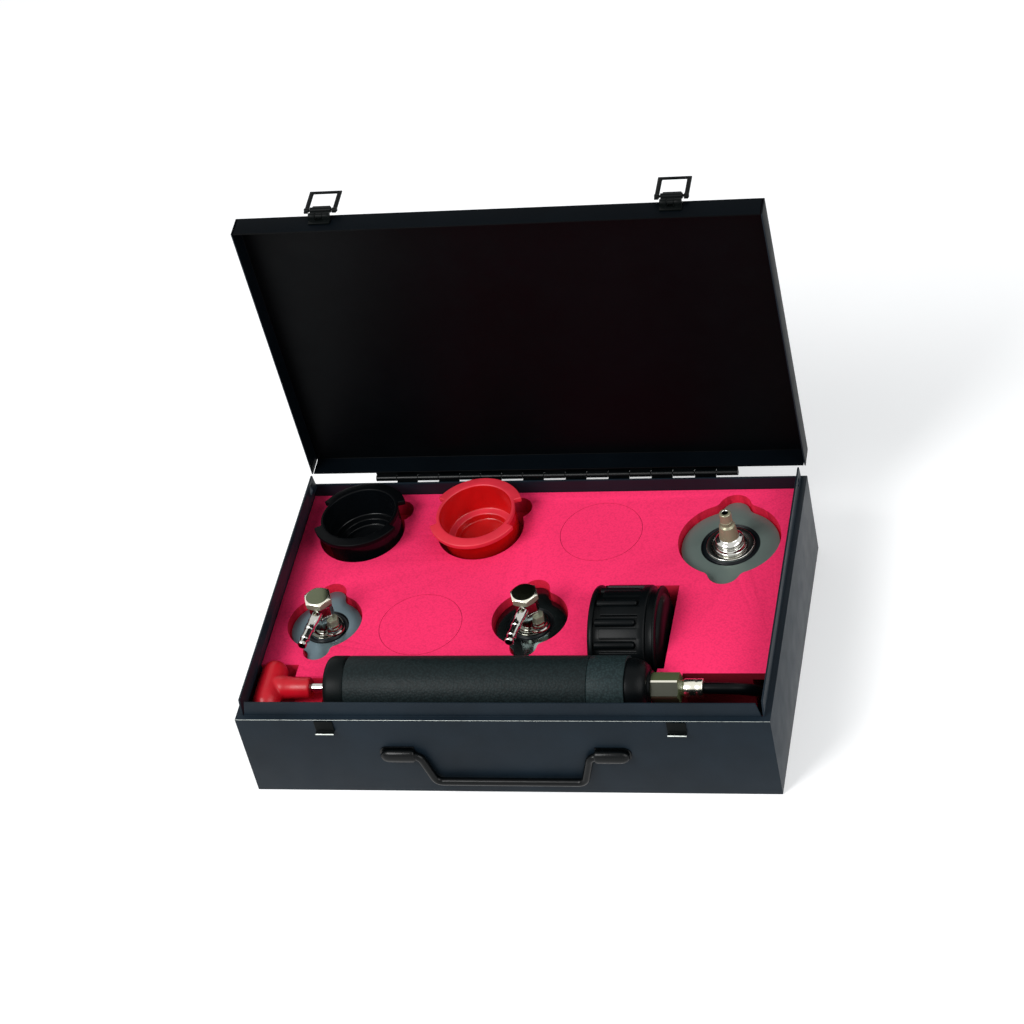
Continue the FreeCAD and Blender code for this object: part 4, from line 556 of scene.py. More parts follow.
def make_camera():
    """Camera at the viewing angle, with a long lens and no shift."""
    camera = add_object("camera", bpy.data.cameras.new("camera"))
    camera.data.sensor_width = SENSOR
    camera.data.lens = FOCAL_PIXELS / FRAME_PIXELS * SENSOR
    camera.data.clip_end = 20.0
    turn = Matrix((CAMERA_X, CAMERA_Y, CAMERA_Z)).transposed()
    camera.matrix_world = Matrix.Translation(CAMERA_PLACE) @ turn.to_4x4()
    bpy.context.scene.camera = camera


def by_ray(tree, lit, seen):
    """One shader for light that falls on things, another for what is seen and mirrored."""
    path = add_node(tree, "LightPath")
    total = path.outputs[SEEN_RAYS[0]]
    for kind in SEEN_RAYS[1:]:
        add = add_node(tree, "Math")
        add.operation = "ADD"
        add.use_clamp = True
        tree.links.new(total, add.inputs[0])
        tree.links.new(path.outputs[kind], add.inputs[1])
        total = add.outputs[0]
    mix = add_node(tree, "MixShader")
    for output, socket in zip((total, lit.outputs[0], seen.outputs[0]), mix.inputs):
        tree.links.new(output, socket)
    return mix.outputs[0]


def make_world(level):
    """Even sky of a plain level that the camera and mirrors see as white."""
    world = bpy.data.worlds.new("studio")
    bpy.context.scene.world = world
    world.use_nodes = True
    tree = world.node_tree
    tree.nodes.clear()
    lit = add_node(tree, "Background", Strength=level, Color=SKY_TINT)
    seen = add_node(tree, "Background", Strength=1.0, Color=WHITE)
    out = add_node(tree, "OutputWorld")
    tree.links.new(by_ray(tree, lit, seen), out.inputs["Surface"])


def make_floor():
    """Pale floor that keeps the shadow and turns white in the open."""
    select_none()
    bpy.ops.mesh.primitive_plane_add(size=FLOOR_WIDTH, location=(0.0, 0.0, -FLOOR_DROP))
    floor = bpy.context.object
    floor.name = "floor"
    finish = Finish("floor_white", (0.82, 0.82, 0.82), 0.9)
    finish.colour(finish.ramp(finish.noise(3.0), [(0.3, 0.80), (0.7, 0.84)]))
    dark = add_node(finish.tree, "Emission", Strength=0.0)
    glow = add_node(finish.tree, "Emission", Strength=FLOOR_GLOW)
    total = add_node(finish.tree, "AddShader")
    finish.join(finish.shader.outputs[0], total.inputs[0])
    finish.join(by_ray(finish.tree, dark, glow), total.inputs[1])
    finish.join(total.outputs[0], finish.tree.nodes["Material Output"].inputs["Surface"])
    floor.data.materials.append(finish.material)


def add_lamp(name, power):
    """Square soft box aimed at the case."""
    place, width = LAMPS[name]
    lamp = add_object(name, bpy.data.lights.new(name, "AREA"))
    lamp.data.size = width
    lamp.data.energy = power
    direction = Vector(LAMP_AIM) - Vector(place)
    turn = direction.to_track_quat("-Z", "Y").to_matrix().to_4x4()
    lamp.matrix_world = Matrix.Translation(place) @ turn


# ---- carried-over nodes --------------------------------------------------------------------------
NODE_FINISHES = {
    "case_paint": ["case_base"],
    "lid_paint": ["lid_shell"],
    "black_steel": ["handle_bail", "handle_saddles"],
    "latch_steel": ["hinge_leaf_base", "hinge_leaf_lid", "hinge_pin", "latch_keepers",
                    "latch_lugs", "latch_lever_left", "latch_lever_right", "latch_loop_left",
                    "latch_loop_right", "latch_pin_left", "latch_pin_right"],
    "foam": ["foam_insert"],
    "red_plastic": ["t_handle", "cup_red"],
    "black_plastic": ["cup_black", "pump_head", "piston", "gauge_pointer"],
    "grip_plastic": ["pump_grip", "pump_front_cap", "pump_end_ring"],
    "boot_rubber": ["gauge_boot"],
    "hose_rubber": ["hose_run", "hose_coil", "hose_tail"],
    "seal_rubber": ["piston_seal", "straight_gasket", "left_gasket", "middle_gasket"],
    "satin_steel": ["straight_plate", "left_plate", "middle_plate", "pump_barrel", "piston_nut",
                    "valve_spring", "valve_ball"],
    "chrome_steel": ["pump_rod", "straight_stem", "left_stem", "middle_stem", "left_banjo",
                     "middle_banjo", "gauge_case"],
    "nickel_brass": ["hose_nut", "left_bolt", "middle_bolt", "hose_ferrule"],
    "plain_brass": ["rod_bush", "gauge_stem", "bourdon_tube", "gauge_movement", "coupler_body",
                    "coupler_sleeve"],
    "lens": ["gauge_lens"],
    "dial_paint": ["gauge_dial"],
}


def paint_nodes():
    """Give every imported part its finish."""
    for finish, names in NODE_FINISHES.items():
        for name in names:
            mesh = NODES[name].data
            mesh.materials.clear()
            mesh.materials.append(MATERIALS[finish])


# ---- case, lid, latches and saddles --------------------------------------------------------------
HALF_DEPTH, PAN_HEIGHT = 119.0, 71.0
LATCHES = {"left": -122.0, "right": 122.0}
LATCH_PIVOT = (-121.2, 82.8)  # y and z with the lid closed
LID_OPEN = 86.5
HINGE = (124.0, 71.0)         # y and z
HIGHLIGHT_REACH = 1.4              # how far the painted highlight reaches from the front edge
LID_INSIDE = (183.2, 1.0, 244.0)          # half width, and from and to above the hinge
STRIP_LOW = (-134.6, HALF_DEPTH + 0.1, HINGE[1] + 1.95)    # thin strip behind the hinge
STRIP_HIGH = (134.6, 122.8, HINGE[1] + 2.6)


def opened(obj):
    """Turn work made on the closed lid to where the open lid holds it."""
    pivot = upright(0.0, *HINGE)
    return put(obj, pivot @ turn_about("X", -LID_OPEN) @ pivot.inverted())


def reach_of(point, x=0.0, y=0.0):
    """Distance of a point from an upright axis."""
    return math.hypot(point.x - x, point.y - y)


def paint_faces(obj, finish, test):
    """Give the faces that pass a test a second finish."""
    obj.data.materials.append(MATERIALS[finish])
    slot = len(obj.data.materials) - 1
    for face in obj.data.polygons:
        if test(face.center / MM, face.normal):
            face.material_index = slot


def make_case(settings):
    """Folded pan, lid tray and hinge leaves; the pan's front bend gets a painted highlight, and the
    lid painted shade.
    """
    bend = settings.bend / MM
    pan = finish_piece(soft_copy("case_base", "pan", bend, 3), "case", "case_paint",
                       ["case_base"])
    # Painted highlight: bright dashes along the pan's front bend.
    paint_faces(pan, "worn_edge", lambda centre, normal: (
        centre.y < -HALF_DEPTH + HIGHLIGHT_REACH and centre.z > PAN_HEIGHT - HIGHLIGHT_REACH
        and normal.y < -0.2 < 0.2 < normal.z))
    lid = finish_piece(soft_copy("lid_shell", "lid_tray", bend, 3), "lid", "case_paint",
                       ["lid_shell"])
    # Painted shade: the lid's sides and upward faces are darkened case paint.
    paint_faces(lid, "lid_edge", lambda centre, normal: abs(normal.x) > 0.3 or normal.z > 0.3)
    # Painted shade: the lid's inside panel is painted nearly black.
    half, low, high = LID_INSIDE
    paint_faces(lid, "lid_paint", lambda centre, normal: (
        abs(centre.x) < half and normal.y < -0.3 and low < centre.z - HINGE[1] < high))
    rear = soft_copy("hinge_leaf_base", "rear_leaf", 0.2, 1, 40.0)
    finish_piece(rear, "case", "black_steel", ["hinge_leaf_base"])
    upper = soft_copy("hinge_leaf_lid", "lid_leaf", 0.2, 1, 40.0)
    carve(upper, opened(block("strip", STRIP_LOW, STRIP_HIGH)), "UNION")
    finish_piece(upper, "lid", "black_steel", ["hinge_leaf_lid"])


LATCH_SHEET = 0.6             # half the thickness of the lever and the loop
LEVER = (7.4, 2.3, 9.8)       # half width, and foot and top above the pivot
TONGUE = (2.3, 0.0, 4.0)
KNUCKLES = ((0.0, 2.3), (6.0, 7.4))       # height above the pivot and half length
KNUCKLE_RADIUS, EYE_RADIUS, PIN_RADIUS = 2.0, 1.0, 0.9
LOOP = (11.6, 3.0, 25.2)
WINDOW = (8.5, 1.0, 22.95)
PIN_HEIGHT = 6.0


def tapered(name, low, high, top_share):
    """Block narrowed along X at its top."""
    plate = block(name, low, high)
    middle = (low[0] + high[0]) / 2 * MM
    edit(plate)
    choose(plate, "VERT", lambda vertex: vertex.co.z > (high[2] - 0.01) * MM)
    bpy.ops.transform.resize(value=(top_share, 1.0, 1.0),
                             center_override=(middle, 0.0, high[2] * MM))
    leave()
    return plate


def latch_plate(x, sizes, thickness=LATCH_SHEET):
    """Corners of an upright plate on a latch's pivot."""
    y, z = LATCH_PIVOT
    half, low, high = sizes
    return (x - half, y - thickness, z + low), (x + half, y + thickness, z + high)


def latch_bar(radius, x0, x1, height, sides=24):
    """Round bar along X at a height above a latch's pivot."""
    y, z = LATCH_PIVOT
    return post("bar", radius, (x0, y, z + height), (x1, y, z + height), sides)


def make_latches():
    """Latch on each side: lever with its knuckles, flat loop with a window, and its keeper."""
    for side, x in LATCHES.items():
        lever = tapered("lever_" + side, *latch_plate(x, LEVER), 0.86)
        carve(lever, block("tongue", *latch_plate(x, TONGUE)), "UNION")
        round_edges(lever, 0.4, 3, 60.0)
        for height, half in KNUCKLES:
            carve(lever, latch_bar(KNUCKLE_RADIUS, x - half, x + half, height, 32), "UNION")
            carve(lever, latch_bar(EYE_RADIUS, x - 9.0, x + 9.0, height))
        finish_piece(opened(lever), "lever_" + side, "latch_steel", ["latch_lever_" + side])
        loop = block("loop_" + side, *latch_plate(x, LOOP))
        carve(loop, block("window", *latch_plate(x, WINDOW, 2.0)))
        round_edges(loop, 0.4, 2, 60.0)
        outer, inner = LOOP[0], WINDOW[0]
        for end in (-1, 1):
            carve(loop, latch_bar(1.5, x + end * outer, x + end * inner, PIN_HEIGHT), "UNION")
        carve(loop, latch_bar(PIN_RADIUS, x - 10.6, x + 10.6, PIN_HEIGHT), "UNION")
        finish_piece(opened(loop), "loop_" + side, "latch_steel", ["latch_loop_" + side])
    keepers = soft_copy("latch_keepers", "keepers", 0.25)
    finish_piece(keepers, "case", "latch_steel", ["latch_keepers"])
    # Painted highlight: the keepers' front faces get the same bright dashes.
    paint_faces(keepers, "worn_edge", lambda centre, normal: centre.y < -HALF_DEPTH - 3.3)
    finish_piece(soft_copy("latch_lugs", "lugs", 0.2), "lid", "latch_steel", ["latch_lugs"])


BAIL_Y, BAIL_Z = -122.1, 39.0
SADDLE_PROFILE = [(62.5, 0), (62.5, 3.2), (62.9, 3.8), (63.7, 4.2), (65.0, 4.4), (80.4, 4.4),
                  (83.0, 4.0), (85.2, 2.9), (86.6, 1.4), (87.0, 0)]
SADDLE_STRETCH = (1.18, 0.86, 1.0)        # makes the turned shape oval
FOOT_LOW = (63.0, -HALF_DEPTH - 1.0, BAIL_Z - 6.2)
FOOT_HIGH = (87.6, -HALF_DEPTH, BAIL_Z + 6.2)


def make_saddles():
    """Pressed oval saddles that hold the ends of the drop handle."""
    saddles = turned("saddles", SADDLE_PROFILE, Matrix(), 64)
    edit(saddles)
    bpy.ops.mesh.select_all(action="SELECT")
    bpy.ops.transform.resize(value=SADDLE_STRETCH)
    leave()
    put(saddles, along_x(BAIL_Y, BAIL_Z))
    foot = block("foot", FOOT_LOW, FOOT_HIGH)
    edit(foot)
    choose(foot, "EDGE", lambda edge: (
        abs(edge.verts[0].co.y - edge.verts[1].co.y) > 0.5 * MM
        and edge.verts[0].co.x > 80.0 * MM))
    bpy.ops.mesh.bevel(offset=5.4 * MM, segments=8)
    leave()
    carve(saddles, foot, "UNION")
    carve(saddles, block("wall", (50.0, -HALF_DEPTH, 20.0), (100.0, -HALF_DEPTH + 20.0, 60.0)))
    carve(saddles, post("bore", 3.0, (60.0, BAIL_Y, BAIL_Z), (80.3, BAIL_Y, BAIL_Z), 48))
    round_edges(saddles, 0.3, 2, 30.0)
    modify(saddles, "MIRROR", use_axis=(True, False, False), use_clip=False,
           use_mirror_merge=False)
    face_outwards(saddles)
    finish_piece(saddles, "case", "black_steel", ["handle_saddles"])


# ---- foam ----------------------------------------------------------------------------------------
FOAM_LOW = (-183.5, -117.5, 1.5)
FOAM_HIGH = (183.5, 117.5, 60.0)
FOAM_LIFT = 45.0              # how far a trough's cutter reaches up out of the foam
CUT_TOP = 70.0                # top of the other cutters
TROUGHS = [(-190.0, -155.9, 24.5), (-168.2, -131.2, 13.5), (-131.2, 100.0, 22.9),
           (100.0, 121.0, 13.3)]          # from, to and radius
FOAM_BOXES = [((118.0, -125.0, 20.0), (190.0, -64.5, CUT_TOP)),
              ((105.5, -64.6, 0.2), (190.0, 35.4, 27.5)),
              ((85.5, -64.6, 0.2), (107.0, 35.4, 11.5)),
              ((97.5, 11.8, 0.2), (135.5, 29.8, 27.5)),
              ((165.0, -66.0, 0.2), (190.0, -14.6, 54.0)),
              ((49.5, -60.1, 9.7), (104.5, 20.1, CUT_TOP)),
              ((66.5, -80.5, 47.6), (86.5, -20.0, CUT_TOP))]
STRAIGHT_PLATE = (35.0, 43.8, 10.0, 8.0)      # disc radius, ear reach, ear radius, blend
ELBOW_PLATE = (25.5, 36.3, 8.0, 6.0)
PLATE_PLACES = {"straight": (134.0, 66.5), "left": (-146.5, -13.5), "middle": (2.5, -11.0)}
WELLS = {"straight": 25.0, "left": 18.5, "middle": 18.5}
SEAT_FLOOR, WELL_FLOOR = 52.2, 34.4
CUP_PLACES = {"black": (-137.5, 79.5, 77.2, -2.0, 3.0),    # rim's middle, leans back and left
              "red": (-50.5, 80.0, 77.5, 2.0, 2.0)}
POCKETS = {"black": (-138.5, 78.0, 45.3), "red": (-49.5, 79.5, 44.5)}   # middle and floor
POCKET_RADIUS = 31.6
SCOOP = (32.0, 43.0, 11.0, 46.0)          # distance and direction from the pocket, radius, floor
CIRCLES = [(40.2, 75.4), (-75.5, -17.0)]
SLIT_PROFILE = [(57.6, 29.6), (CUT_TOP, 29.6), (CUT_TOP, 29.9), (57.6, 29.9)]
BAY_CORNER = (104.0, -63.5)   # the hose's bay lies to the right of and in front of this
PUMP_Y, PUMP_Z = -80.5, 62.5


def on_pump_axis(name, radius, x0, x1, sides=64):
    """Round bar on the pump's axis."""
    return post(name, radius, (x0, PUMP_Y, PUMP_Z), (x1, PUMP_Y, PUMP_Z), sides)


def trough_cutter(x0, x1, radius):
    """Half-round channel, its upper half drawn up out of the foam."""
    cutter = on_pump_axis("trough", radius, x0, x1)
    edit(cutter)
    choose(cutter, "VERT", lambda vertex: vertex.co.z > (PUMP_Z + 0.1) * MM)
    bpy.ops.transform.translate(value=(0.0, 0.0, FOAM_LIFT * MM))
    leave()
    return cutter


def plate_sizes(name, spread=1.6):
    """Outline of a cap plate's cut-out."""
    radius, reach, ear, blend = STRAIGHT_PLATE if name == "straight" else ELBOW_PLATE
    return radius + spread, reach + spread, ear + spread, blend - spread


def make_foam(settings):
    """Foam insert with its cut-outs, softened edges and two slit circles."""
    foam = block("foam_block", FOAM_LOW, FOAM_HIGH)
    for zone in TROUGHS:
        carve(foam, trough_cutter(*zone))
    for low, high in FOAM_BOXES:
        carve(foam, block("cutter", low, high))
    away, direction, scoop_radius, scoop_floor = SCOOP
    turn = math.radians(direction)
    for x, y, floor in POCKETS.values():
        drill(foam, POCKET_RADIUS, (x, y), floor, CUT_TOP, 96)
        scoop = (x + away * math.cos(turn), y + away * math.sin(turn))
        drill(foam, scoop_radius, scoop, scoop_floor, CUT_TOP)
    for name, place in PLATE_PLACES.items():
        carve(foam, eared_blank("seat", place, plate_sizes(name), SEAT_FLOOR, CUT_TOP))
        drill(foam, WELLS[name], place, WELL_FLOOR, 58.0, 64)
    round_edges(foam, settings.softness / MM, 2, 50.0)
    for x, y in CIRCLES:
        carve(foam, turned("slit", SLIT_PROFILE, upright(x, y)))
    finish_piece(foam, "case", "foam", ["foam_insert"])
    # Painted shade: every face between the foam's top and bottom, mostly the cut-outs' walls and
    # floors, is darker red; the hose's bay darker still.
    low, high = FOAM_LOW[2] + 1.0, FOAM_HIGH[2] - 0.9
    paint_faces(foam, "foam_cut", lambda centre, normal: low < centre.z < high)
    paint_faces(foam, "foam_deep", lambda centre, normal: (
        low < centre.z < high and centre.x > BAY_CORNER[0] and centre.y < BAY_CORNER[1]))


# ---- hose ----------------------------------------------------------------------------------------
RUN_POINTS = [(135.0, -80.5, 62.5), (149.5, -80.5, 62.5), (163.3, -77.2, 57.8),
              (173.8, -71.2, 49.2), (179.5, -63.3, 38.0), (179.5, -49.3, 17.9),
              (179.5, -38.4, 9.8), (179.5, -25.5, 5.5), (179.5, -14.6, 5.5)]
TAIL_POINTS = [(135.5, -50.0, 14.0), (148.5, -50.0, 14.8), (163.0, -43.0, 15.0),
               (172.6, -30.6, 15.2), (176.3, -14.6, 15.6), (173.1, 1.2, 17.0),
               (163.0, 13.8, 17.5), (148.5, 20.8, 17.5), (135.5, 20.8, 17.5)]
COIL_CENTRE = (135.5, -14.6)
COIL_RADII = (45.1, 36.7)     # control points of the outer and the inner turn
COIL_STEP = 24                # degrees between control points
COIL_END = 612
LANE_CHANGE = (255.0, 350.0)  # where the hose moves from the outer turn to the inner one
COIL_RISE = (564.0, 630.0)    # where it lifts off the floor to cross itself
COIL_FLOOR, COIL_LIFT = 5.5, 8.5


def eased(value, low, high):
    """0 below a range, 1 above it, smooth between."""
    share = min(1.0, max(0.0, (value - low) / (high - low)))
    return share * share * (3.0 - 2.0 * share)


def coil_points():
    """Control points of the two turns on the case's floor."""
    points = []
    outer, inner = COIL_RADII
    for angle in range(COIL_STEP, COIL_END + 1, COIL_STEP):
        radius = outer + (inner - outer) * eased(angle, *LANE_CHANGE)
        turn = math.radians(angle)
        points.append((COIL_CENTRE[0] + radius * math.cos(turn),
                       COIL_CENTRE[1] + radius * math.sin(turn),
                       COIL_FLOOR + COIL_LIFT * eased(angle, *COIL_RISE)))
    return points


def make_hose(settings):
    """Rubber hose from the ferrule down to its coil under the foam and up to the coupler."""
    curve = bpy.data.curves.new("hose_line", "CURVE")
    curve.dimensions = "3D"
    curve.bevel_depth = settings.radius
    curve.bevel_resolution = 6
    curve.use_fill_caps = True
    spline = curve.splines.new("NURBS")
    route = RUN_POINTS + coil_points() + TAIL_POINTS
    spline.points.add(len(route) - 1)
    for point, place in zip(spline.points, route):
        point.co = (*(value * MM for value in place), 1.0)
    spline.order_u = 3
    spline.use_endpoint_u = True
    spline.resolution_u = 8
    hose = add_object("hose_line", curve)
    curve.materials.append(MATERIALS["hose_rubber"])
    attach(hose, "case")
    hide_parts("hose_run", "hose_coil", "hose_tail")


# ---- pump ----------------------------------------------------------------------------------------
PUMP_PARTS = [                # name, profile, steps, rounding of the edges, finish, node
    ("front_cap", [(-130.2, 5.0), (-130.2, 5.6), (-127.0, 5.6), (-127.0, 17.4), (-126.6, 19.2),
                   (-125.6, 20.8), (-124.2, 21.7), (-122.4, 22.1), (-113.0, 22.1),
                   (-112.6, 21.6), (-112.0, 21.6), (-112.0, 15.5), (-118.75, 15.5),
                   (-118.75, 5.0)], 96, 0.35, "cap_plastic", "pump_front_cap"),
    ("grip_sleeve", [(-112.0, 15.5), (-112.0, 21.4), (-111.4, 22.0), (57.9, 22.0), (58.5, 21.4),
                     (58.5, 15.5)], 128, 0.35, "grip_plastic", "pump_grip"),
    ("end_ring", [(58.5, 15.5), (58.5, 21.4), (59.1, 22.0), (84.0, 22.0), (84.0, 15.5)],
     128, 0.35, "ring_plastic", "pump_end_ring"),
    ("head_cone", [(66.0, 0), (66.0, 15.4), (84.0, 15.4), (84.0, 20.3), (86.0, 20.3),
                   (89.5, 19.9), (92.6, 19.1), (95.6, 17.6), (97.6, 15.6), (98.2, 14.0),
                   (98.4, 12.6), (98.6, 12.0), (100.0, 12.0), (100.0, 0)],
     96, 0.3, "boot_rubber", "pump_head")]
VALVE_ROOM = [(64.0, 0), (64.0, 2.0), (68.0, 2.0), (68.0, 3.6), (101.0, 3.6), (101.0, 0)]
PORT_X = 76.5                 # the gauge's stem joins the pump here
FERRULE_PROFILE = [(119.0, 2.2), (119.0, 5.5), (121.4, 5.5), (121.8, 6.0), (122.4, 6.4),
                   (129.4, 6.4), (129.9, 6.15), (130.5, 6.15), (131.0, 6.4), (134.4, 6.4),
                   (135.0, 5.8), (135.0, 2.2)]
NUT_FLATS, NUT_CORNERS = 19.0, 21.1       # across the flats, and across the blunted corners
NUT_LOW, NUT_HIGH = 100.0, 119.0
NUT_TURN = 49.0               # degrees that the union nut is tightened to


def make_pump_body():
    """Front cap, textured grip, end ring and head."""
    axis = along_x(PUMP_Y, PUMP_Z)
    for name, profile, steps, edge, finish, node in PUMP_PARTS:
        part = turned(name, profile, axis, steps)
        if name == "end_ring":
            carve(part, post("port", 6.0, (PORT_X, PUMP_Y, PUMP_Z),
                             (PORT_X, PUMP_Y + 42.73, PUMP_Z - 10.52)))
        if name == "head_cone":
            carve(part, turned("valve_room", VALVE_ROOM, axis, 48))
        finish_piece(round_edges(part, edge), "case", finish, [node])


def make_hose_fittings():
    """Hexagon nut and crimped ferrule."""
    axis = along_x(PUMP_Y, PUMP_Z)
    nut = hexagon("union_nut", NUT_FLATS, NUT_LOW, NUT_HIGH, axis, NUT_TURN)
    carve(nut, hexagon("corners", NUT_CORNERS, NUT_LOW - 1.0, NUT_HIGH + 1.0, axis,
                       NUT_TURN + 30.0), "INTERSECT")
    carve(nut, on_pump_axis("bore", 2.2, NUT_LOW - 2.0, NUT_HIGH + 2.0, 48))
    finish_piece(round_edges(nut, 0.1, 1, 20.0), "case", "nut_nickel", ["hose_nut"], 15.0)

    def slopes(low, high):
        return lambda centre, normal: (
            abs(normal.x) < 0.5 and low < math.degrees(math.atan2(normal.z, -normal.y)) < high)
    # Painted shade on the nut's faces turned towards the front, and a painted highlight on the
    # faces that turn up from them.
    paint_faces(nut, "dark_nickel", slopes(-50.0, 60.0))
    paint_faces(nut, "bright_nickel", slopes(60.0, 85.0))
    ferrule = turned("crimp_ferrule", FERRULE_PROFILE, axis)
    finish_piece(round_edges(ferrule, 0.12, 1), "case", "bright_nickel", ["hose_ferrule"])


HANDLE_X = -170.2
HANDLE_ENDS = [(0.0, 0.0), (0.3, 2.5), (1.2, 4.9), (2.8, 7.0), (5.2, 8.5), (8.4, 9.3), (13.0, 9.5)]
HANDLE_STEM = [(HANDLE_X, 0), (HANDLE_X, 8.6), (-163.0, 8.6), (-160.0, 8.5), (-157.0, 7.9),
               (-153.6, 7.5), (-141.4, 7.3), (-140.5, 6.9), (-140.2, 6.1), (-140.2, 0)]


def make_t_handle(settings):
    """Moulded T-handle: the rounded grip and the flared stem are melted into one skin."""
    half = settings.handle_width / MM / 2
    shape = [(-half + along, radius) for along, radius in HANDLE_ENDS]
    shape += [(-along, radius) for along, radius in reversed(shape)]
    handle = turned("t_grip", shape, upright(HANDLE_X, PUMP_Y, PUMP_Z) @ turn_about("X", -90), 64)
    carve(handle, turned("stem", HANDLE_STEM, along_x(PUMP_Y, PUMP_Z), 64), "UNION")
    modify(handle, "REMESH", mode="VOXEL", voxel_size=0.6 * MM)
    modify(handle, "SMOOTH", factor=0.5, iterations=10)
    carve(handle, on_pump_axis("socket", 3.2, -154.2, -138.0, 48))
    finish_piece(handle, "rod", "handle_red", ["t_handle"], 60.0)


# ---- gauge ---------------------------------------------------------------------------------------
GAUGE_Y, GAUGE_Z = -20.0, 47.6
RIB_STEPS = 14                # lathe steps per pitch
RIB_OPEN = (0, 1, 2, 3, 10, 11, 12, 13)   # steps of each pitch that sink between two lands
BOOT_RADIUS = 37.6
BOOT_PROFILE = [(50.5, 26.9), (50.5, 34.6), (50.9, 36.1), (51.8, 37.1), (53.0, BOOT_RADIUS),
                (54.5, BOOT_RADIUS), (59.3, BOOT_RADIUS), (85.5, BOOT_RADIUS),
                (89.6, BOOT_RADIUS), (90.6, 37.0), (91.2, 35.0), (95.4, 34.8), (95.8, 36.8),
                (96.6, 37.2), (97.4, 36.6), (97.6, 31.6), (99.2, 30.4), (100.6, 28.4),
                (101.5, 25.0), (101.5, 3.0), (93.95, 3.0), (93.95, 31.4), (52.75, 31.4),
                (52.75, 26.9)]
BAND = (54.5, 59.3, 83.5)     # the sunk ring and the lands: from, to, and where the lands end
BAR_RADIUS = 2.9
BAR_PROFILE = [(56.0, 0), (56.0, BAR_RADIUS), (81.6, BAR_RADIUS - 0.1), (83.0, BAR_RADIUS - 0.5),
               (83.8, BAR_RADIUS - 1.4), (84.0, 0)]


def make_boot(settings):
    """Rubber boot: lands and round bars between a rim and a smooth band, a waist and a flange."""
    count = settings.ribs
    boot = turned("gauge_cover", BOOT_PROFILE, Matrix(), RIB_STEPS * count)
    sink_ribs(boot, count, settings.rib_depth / MM)
    round_edges(boot, 0.3, 2, 32.0)
    bars = turned("bars", BAR_PROFILE, upright(BOOT_RADIUS - BAR_RADIUS - 0.1, 0.0), 24)
    bar = bars.data.copy()
    for index in range(1, count):
        other = add_object("bar", bar.copy())
        put(other, Matrix.Rotation(2 * math.pi * index / count, 4, "Z"))
        carve(bars, other, "UNION")
    carve(boot, bars, "UNION")
    put(boot, along_x(GAUGE_Y, GAUGE_Z))
    carve(boot, post("port", 6.3, (PORT_X, PUMP_Y, PUMP_Z),
                     (PORT_X, GAUGE_Y - 26.0, GAUGE_Z + 6.4)))
    finish_piece(boot, "case", "boot_rubber", ["gauge_boot"], 35.0)


def sink_ribs(boot, count, depth):
    """Push in the ring behind the rim and the faces between the lands."""
    ring_start, lands_start, lands_end = BAND

    def between_lands(face):
        centre = face.calc_center_median() / MM
        if not ring_start < centre.z < lands_end or reach_of(centre) < 36.0:
            return False
        step = math.degrees(math.atan2(centre.y, centre.x)) % 360.0 / (360.0 / (RIB_STEPS * count))
        return centre.z < lands_start or int(step) % RIB_STEPS in RIB_OPEN
    edit(boot)
    choose(boot, "FACE", between_lands)
    bpy.ops.mesh.extrude_region_shrink_fatten(
        TRANSFORM_OT_shrink_fatten={"value": -depth * MM})
    leave()


# ---- cups ----------------------------------------------------------------------------------------
CUP_HEIGHT = 30.0
CUP_PROFILE = [(0.0, 0), (0.0, 26.2), (0.6, 27.0), (1.4, 27.3), (26.0, 28.6), (CUP_HEIGHT, 29.0),
               (CUP_HEIGHT, 26.8), (28.4, 26.4), (8.6, 25.4), (7.8, 25.0), (7.5, 24.4),
               (7.5, 20.4), (6.8, 19.8), (2.8, 19.4), (2.2, 18.8), (2.2, 0)]
EAR_TURN = 3.0                # degrees that the ears stand off the Y axis


def make_cup(colour, settings):
    """Filler-neck cup: ledge inside, and two bayonet ears drawn out of the wall at the rim."""
    x, y, z, back, left = CUP_PLACES[colour]
    cup = turned(colour + "_neck", CUP_PROFILE, Matrix(), 120)
    side = math.degrees(settings.ear_sweep) / 2

    def on_ear(face):
        centre = face.calc_center_median() / MM
        if not 26.0 < centre.z < CUP_HEIGHT or reach_of(centre) < 28.0:
            return False
        away = (math.degrees(math.atan2(centre.y, centre.x)) + EAR_TURN) % 180.0
        return 90.0 - side < away < 90.0 + side
    edit(cup)
    choose(cup, "FACE", on_ear)
    bpy.ops.mesh.extrude_region_shrink_fatten(
        TRANSFORM_OT_shrink_fatten={"value": settings.ear_reach})
    leave()
    round_edges(cup, 0.7, 3, 40.0)
    finish_piece(cup, colour + "_cup", colour + "_plastic", ["cup_" + colour])

    # The rim and the ledge inside get a second copy of the plastic: lighter on the red cup, a
    # painted highlight; darker on the black cup, a painted shade.
    def rim_or_ledge(centre, normal):
        on_rim = centre.z > 25.9 and (reach_of(centre) > 28.4 or normal.z > 0.3)
        return on_rim or 6.9 < centre.z < 8.0 and normal.z > 0.3
    paint_faces(cup, colour + "_rim", rim_or_ledge)
    put(cup, upright(x, y, z) @ turn_about("X", back) @ turn_about("Y", -left)
        @ upright(0.0, 0.0, -CUP_HEIGHT))


